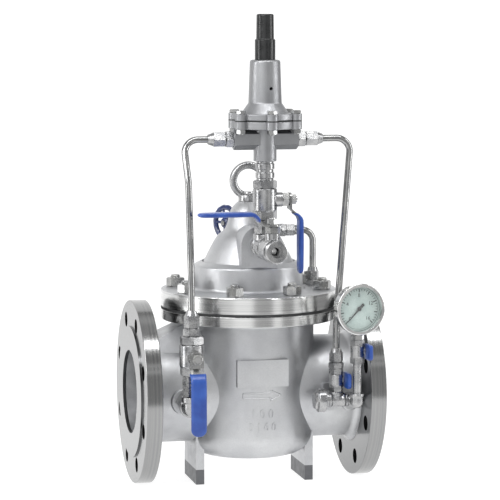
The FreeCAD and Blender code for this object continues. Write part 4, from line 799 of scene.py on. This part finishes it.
# ================================================================ cast marks on the barrel
def cast_marks():
    """Raised outline of a flow arrow over two rows of plain figures on the barrel's front."""
    front = barrel_front()
    half, head, shaft, tall = 23 * MM, 13 * MM, 3.2 * MM, 6.2 * MM
    level, spacing, line_radius, figure_depth = 2 * MM, 0.8 * MM, 1.0 * MM, 2.2 * MM
    outline = along_corners([(-half, -shaft), (half - head, -shaft), (half - head, -tall), (half, 0),
                             (half - head, tall), (half - head, shaft), (-half, shaft)],
                            spacing, 2)
    path, outward = on_barrel(front, outline + [0, level])
    patches = [bead(path, outward, line_radius)]
    for text, size, drop in (("1 0 0", 16 * MM, -20.5 * MM), ("0 1 6 0", 14 * MM, -36 * MM)):
        points, faces = lettering(text, size, figure_depth)
        points[:, 0] *= 0.86
        laid, outward = on_barrel(front, points[:, :2] + [0, drop])
        patches.append((laid + outward * points[:, 2:], faces))
    piece("cast_arrow_and_figures", patches, "valve_body", "cast_stainless", smooth=50)


cover_fasteners()
pilot_bolts()
grip("inlet_cock", (0, 0, -1), (0, -1, 0))
grip("pilot_cock", (0, 0, -1), (1, 0, 0))
grip("vent_cock", (-1, 0, 0), (0, 0, 1))
hand_wheel()
lifting_eye()
gauge_print()
pointer()
cast_marks()


# ================================================================ stage, light and camera
def backdrop_paper():
    """Matt studio paper, lit from behind so that it stays white round the valve."""
    made, tree, shader, place = material("backdrop_paper")
    cloud = add(tree, "TexNoise", {"Vector": place, "Scale": scale(700.0)})
    tone = add(tree, "Mix", {0: cloud, 6: linear("#8a8a8a"), 7: linear("#909090")}, 2,
               data_type="RGBA")
    join(tree, shader, {"Base Color": tone, "Roughness": 0.9,
                        "Emission Color": linear("#ffffff"), "Emission Strength": 0.9})
    return made


def backdrop():
    """White sweep: a floor that curves up into a wall behind the valve, narrow in front."""
    floor = float(body_low[2])
    depth = np.linspace(0, 1, 60)
    bend = np.clip((depth - 0.55) / 0.2, 0, 1) * np.pi / 2
    radius, near, far = 1.2, -0.75, 2.2
    y = np.where(depth < 0.55, near + (far - near) * depth / 0.55, far + radius * np.sin(bend))
    z = np.where(depth < 0.75, radius * (1 - np.cos(bend)),
                 radius + (depth - 0.75) / 0.25 * 3.5)
    half_width = np.interp(y, [near, 0.3, far], [0.7, 1.0, 4.0])
    x = np.linspace(-1, 1, 12)[None, :] * half_width[:, None] + bonnet[0]
    grid = np.stack(np.broadcast_arrays(x, y[:, None], z[:, None] + floor), -1)
    points, faces = surface(grid, ring=False, caps=False)
    mesh = bpy.data.meshes.new("backdrop")
    mesh.from_pydata(points.tolist(), [], faces)
    mesh.shade_smooth()
    mesh.materials.append(backdrop_paper())
    sheet = bpy.data.objects.new("backdrop", mesh)
    bpy.context.scene.collection.objects.link(sheet)


def softbox(name, azimuth, elevation, distance, width, height, power):
    """Area light aimed at the valve's middle from the direction given in degrees."""
    target = np.array([(cad_low[i] + cad_high[i]) / 2 for i in range(3)])
    turn, lift = math.radians(azimuth), math.radians(elevation)
    back = np.array([math.sin(turn) * math.cos(lift), -math.cos(turn) * math.cos(lift),
                     math.sin(lift)])
    light = bpy.data.lights.new(name, "AREA")
    light.shape = "RECTANGLE"
    light.size = width
    light.size_y = height
    light.energy = power
    lamp = bpy.data.objects.new(name, light)
    bpy.context.scene.collection.objects.link(lamp)
    aim(lamp, target, back, distance)


def aim(thing, target, back, distance):
    """Stand a light or camera off the target along back, looking at it, level with the ground."""
    right = np.cross(Z_AXIS, back)
    right /= np.linalg.norm(right)
    up = np.cross(back, right)
    matrix = np.eye(4)
    matrix[:3, 0], matrix[:3, 1], matrix[:3, 2] = right, up, back
    matrix[:3, 3] = target + back * distance
    thing.matrix_world = Matrix(matrix.tolist())


def ramp(tree, value, stops):
    """Brightness read off a list of (place from 0 to 1, brightness) stops."""
    colour = add(tree, "ValToRGB", {"Fac": value}, "Color")
    marks = colour.node.color_ramp.elements
    while len(marks) < len(stops):
        marks.new(0.5)
    for mark, (at, _) in zip(marks, stops):
        mark.position = at
    for mark, (_, level) in zip(marks, stops):
        mark.color = (level, level, level, 1)
    return colour


def turn_stops(levels):
    """Stops of a full turn from (degrees right of the camera's line, brightness) pairs."""
    return [((angle + 180) / 360, level) for angle, level in levels]


def sky():
    """Studio surroundings: upright and level light strips with darker gaps between them."""
    world = bpy.data.worlds.new("studio")
    world.use_nodes = True
    tree = world.node_tree
    way = add(tree, "TexCoord", output="Generated")
    right, away, upwards = add(tree, "SeparateXYZ", {"Vector": way}).node.outputs
    forward = add(tree, "Math", {0: away, 1: -1.0}, operation="MULTIPLY")
    turn = add(tree, "Math", {0: right, 1: forward}, operation="ARCTAN2")
    lift = add(tree, "Math", {0: upwards}, operation="ARCSINE")
    shares = []
    for angle, whole in ((turn, 2 * math.pi), (lift, math.pi)):
        share = add(tree, "Math", {0: angle, 1: whole}, operation="DIVIDE")
        shares.append(add(tree, "Math", {0: share, 1: 0.5}, operation="ADD"))
    upright = ramp(tree, shares[0], turn_stops(
        [(-180, 0.55), (-112, 0.30), (-92, 0.80), (-80, 0.85), (-71, 0.12), (-60, 0.10), (-54, 0.55),
         (-34, 0.75), (-28, 1.0), (-8, 1.0), (-3, 0.42), (18, 0.38), (22, 0.95), (30, 0.95),
         (34, 0.34), (48, 0.30), (51, 0.9), (56, 0.9), (60, 0.26), (72, 0.24), (75, 0.8),
         (80, 0.8), (86, 0.3), (120, 0.22), (180, 0.55)]))
    level = ramp(tree, shares[1], [(0.0, 0.75), (0.44, 0.6), (0.5, 0.5), (0.66, 0.34), (0.67, 1.0),
                              (0.685, 1.0), (0.69, 0.3), (0.705, 0.3), (0.71, 1.0), (0.725, 1.0),
                              (0.73, 0.3), (0.80, 0.26), (0.86, 0.7), (0.90, 0.75), (0.93, 0.45),
                              (1.0, 0.6)])
    low_down = add(tree, "MapRange", {"Value": upwards, "From Min": 0.25, "From Max": 0.45,
                                      "To Min": 1.0, "To Max": 0.0})
    mixed = add(tree, "Mix", {0: low_down, 6: level, 7: upright}, 2, data_type="RGBA")
    back = tree.nodes["Background"]
    tree.links.new(mixed, back.inputs["Color"])
    back.inputs["Strength"].default_value = 1.1
    bpy.context.scene.world = world


def display():
    """Plain display curve, so the white sweep stays white."""
    view = bpy.context.scene.view_settings
    view.view_transform = "Standard"
    view.look = "None"
    view.exposure = 0.0


def camera():
    """Long lens a little to the left of the front, just above the valve's middle."""
    azimuth, elevation, distance = math.radians(12.57), math.radians(5.92), 2.72
    target = bonnet + [-0.0299, -0.1436, 0.1829]
    back = np.array([-math.sin(azimuth) * math.cos(elevation),
                     -math.cos(azimuth) * math.cos(elevation), math.sin(elevation)])
    data = bpy.data.cameras.new("camera")
    data.lens = 170.9
    data.sensor_width = 36
    holder = bpy.data.objects.new("camera", data)
    bpy.context.scene.collection.objects.link(holder)
    aim(holder, target, back, distance)
    bpy.context.scene.camera = holder


backdrop()
sky()
softbox("key_softbox", -50, 35, 1.9, 0.9, 1.2, 19)
softbox("top_softbox", 10, 65, 1.7, 1.6, 0.26, 13)
softbox("right_strip", 70, 15, 1.8, 0.35, 1.6, 12)
softbox("left_strip", -88, 5, 1.8, 0.35, 1.6, 9)
camera()
display()
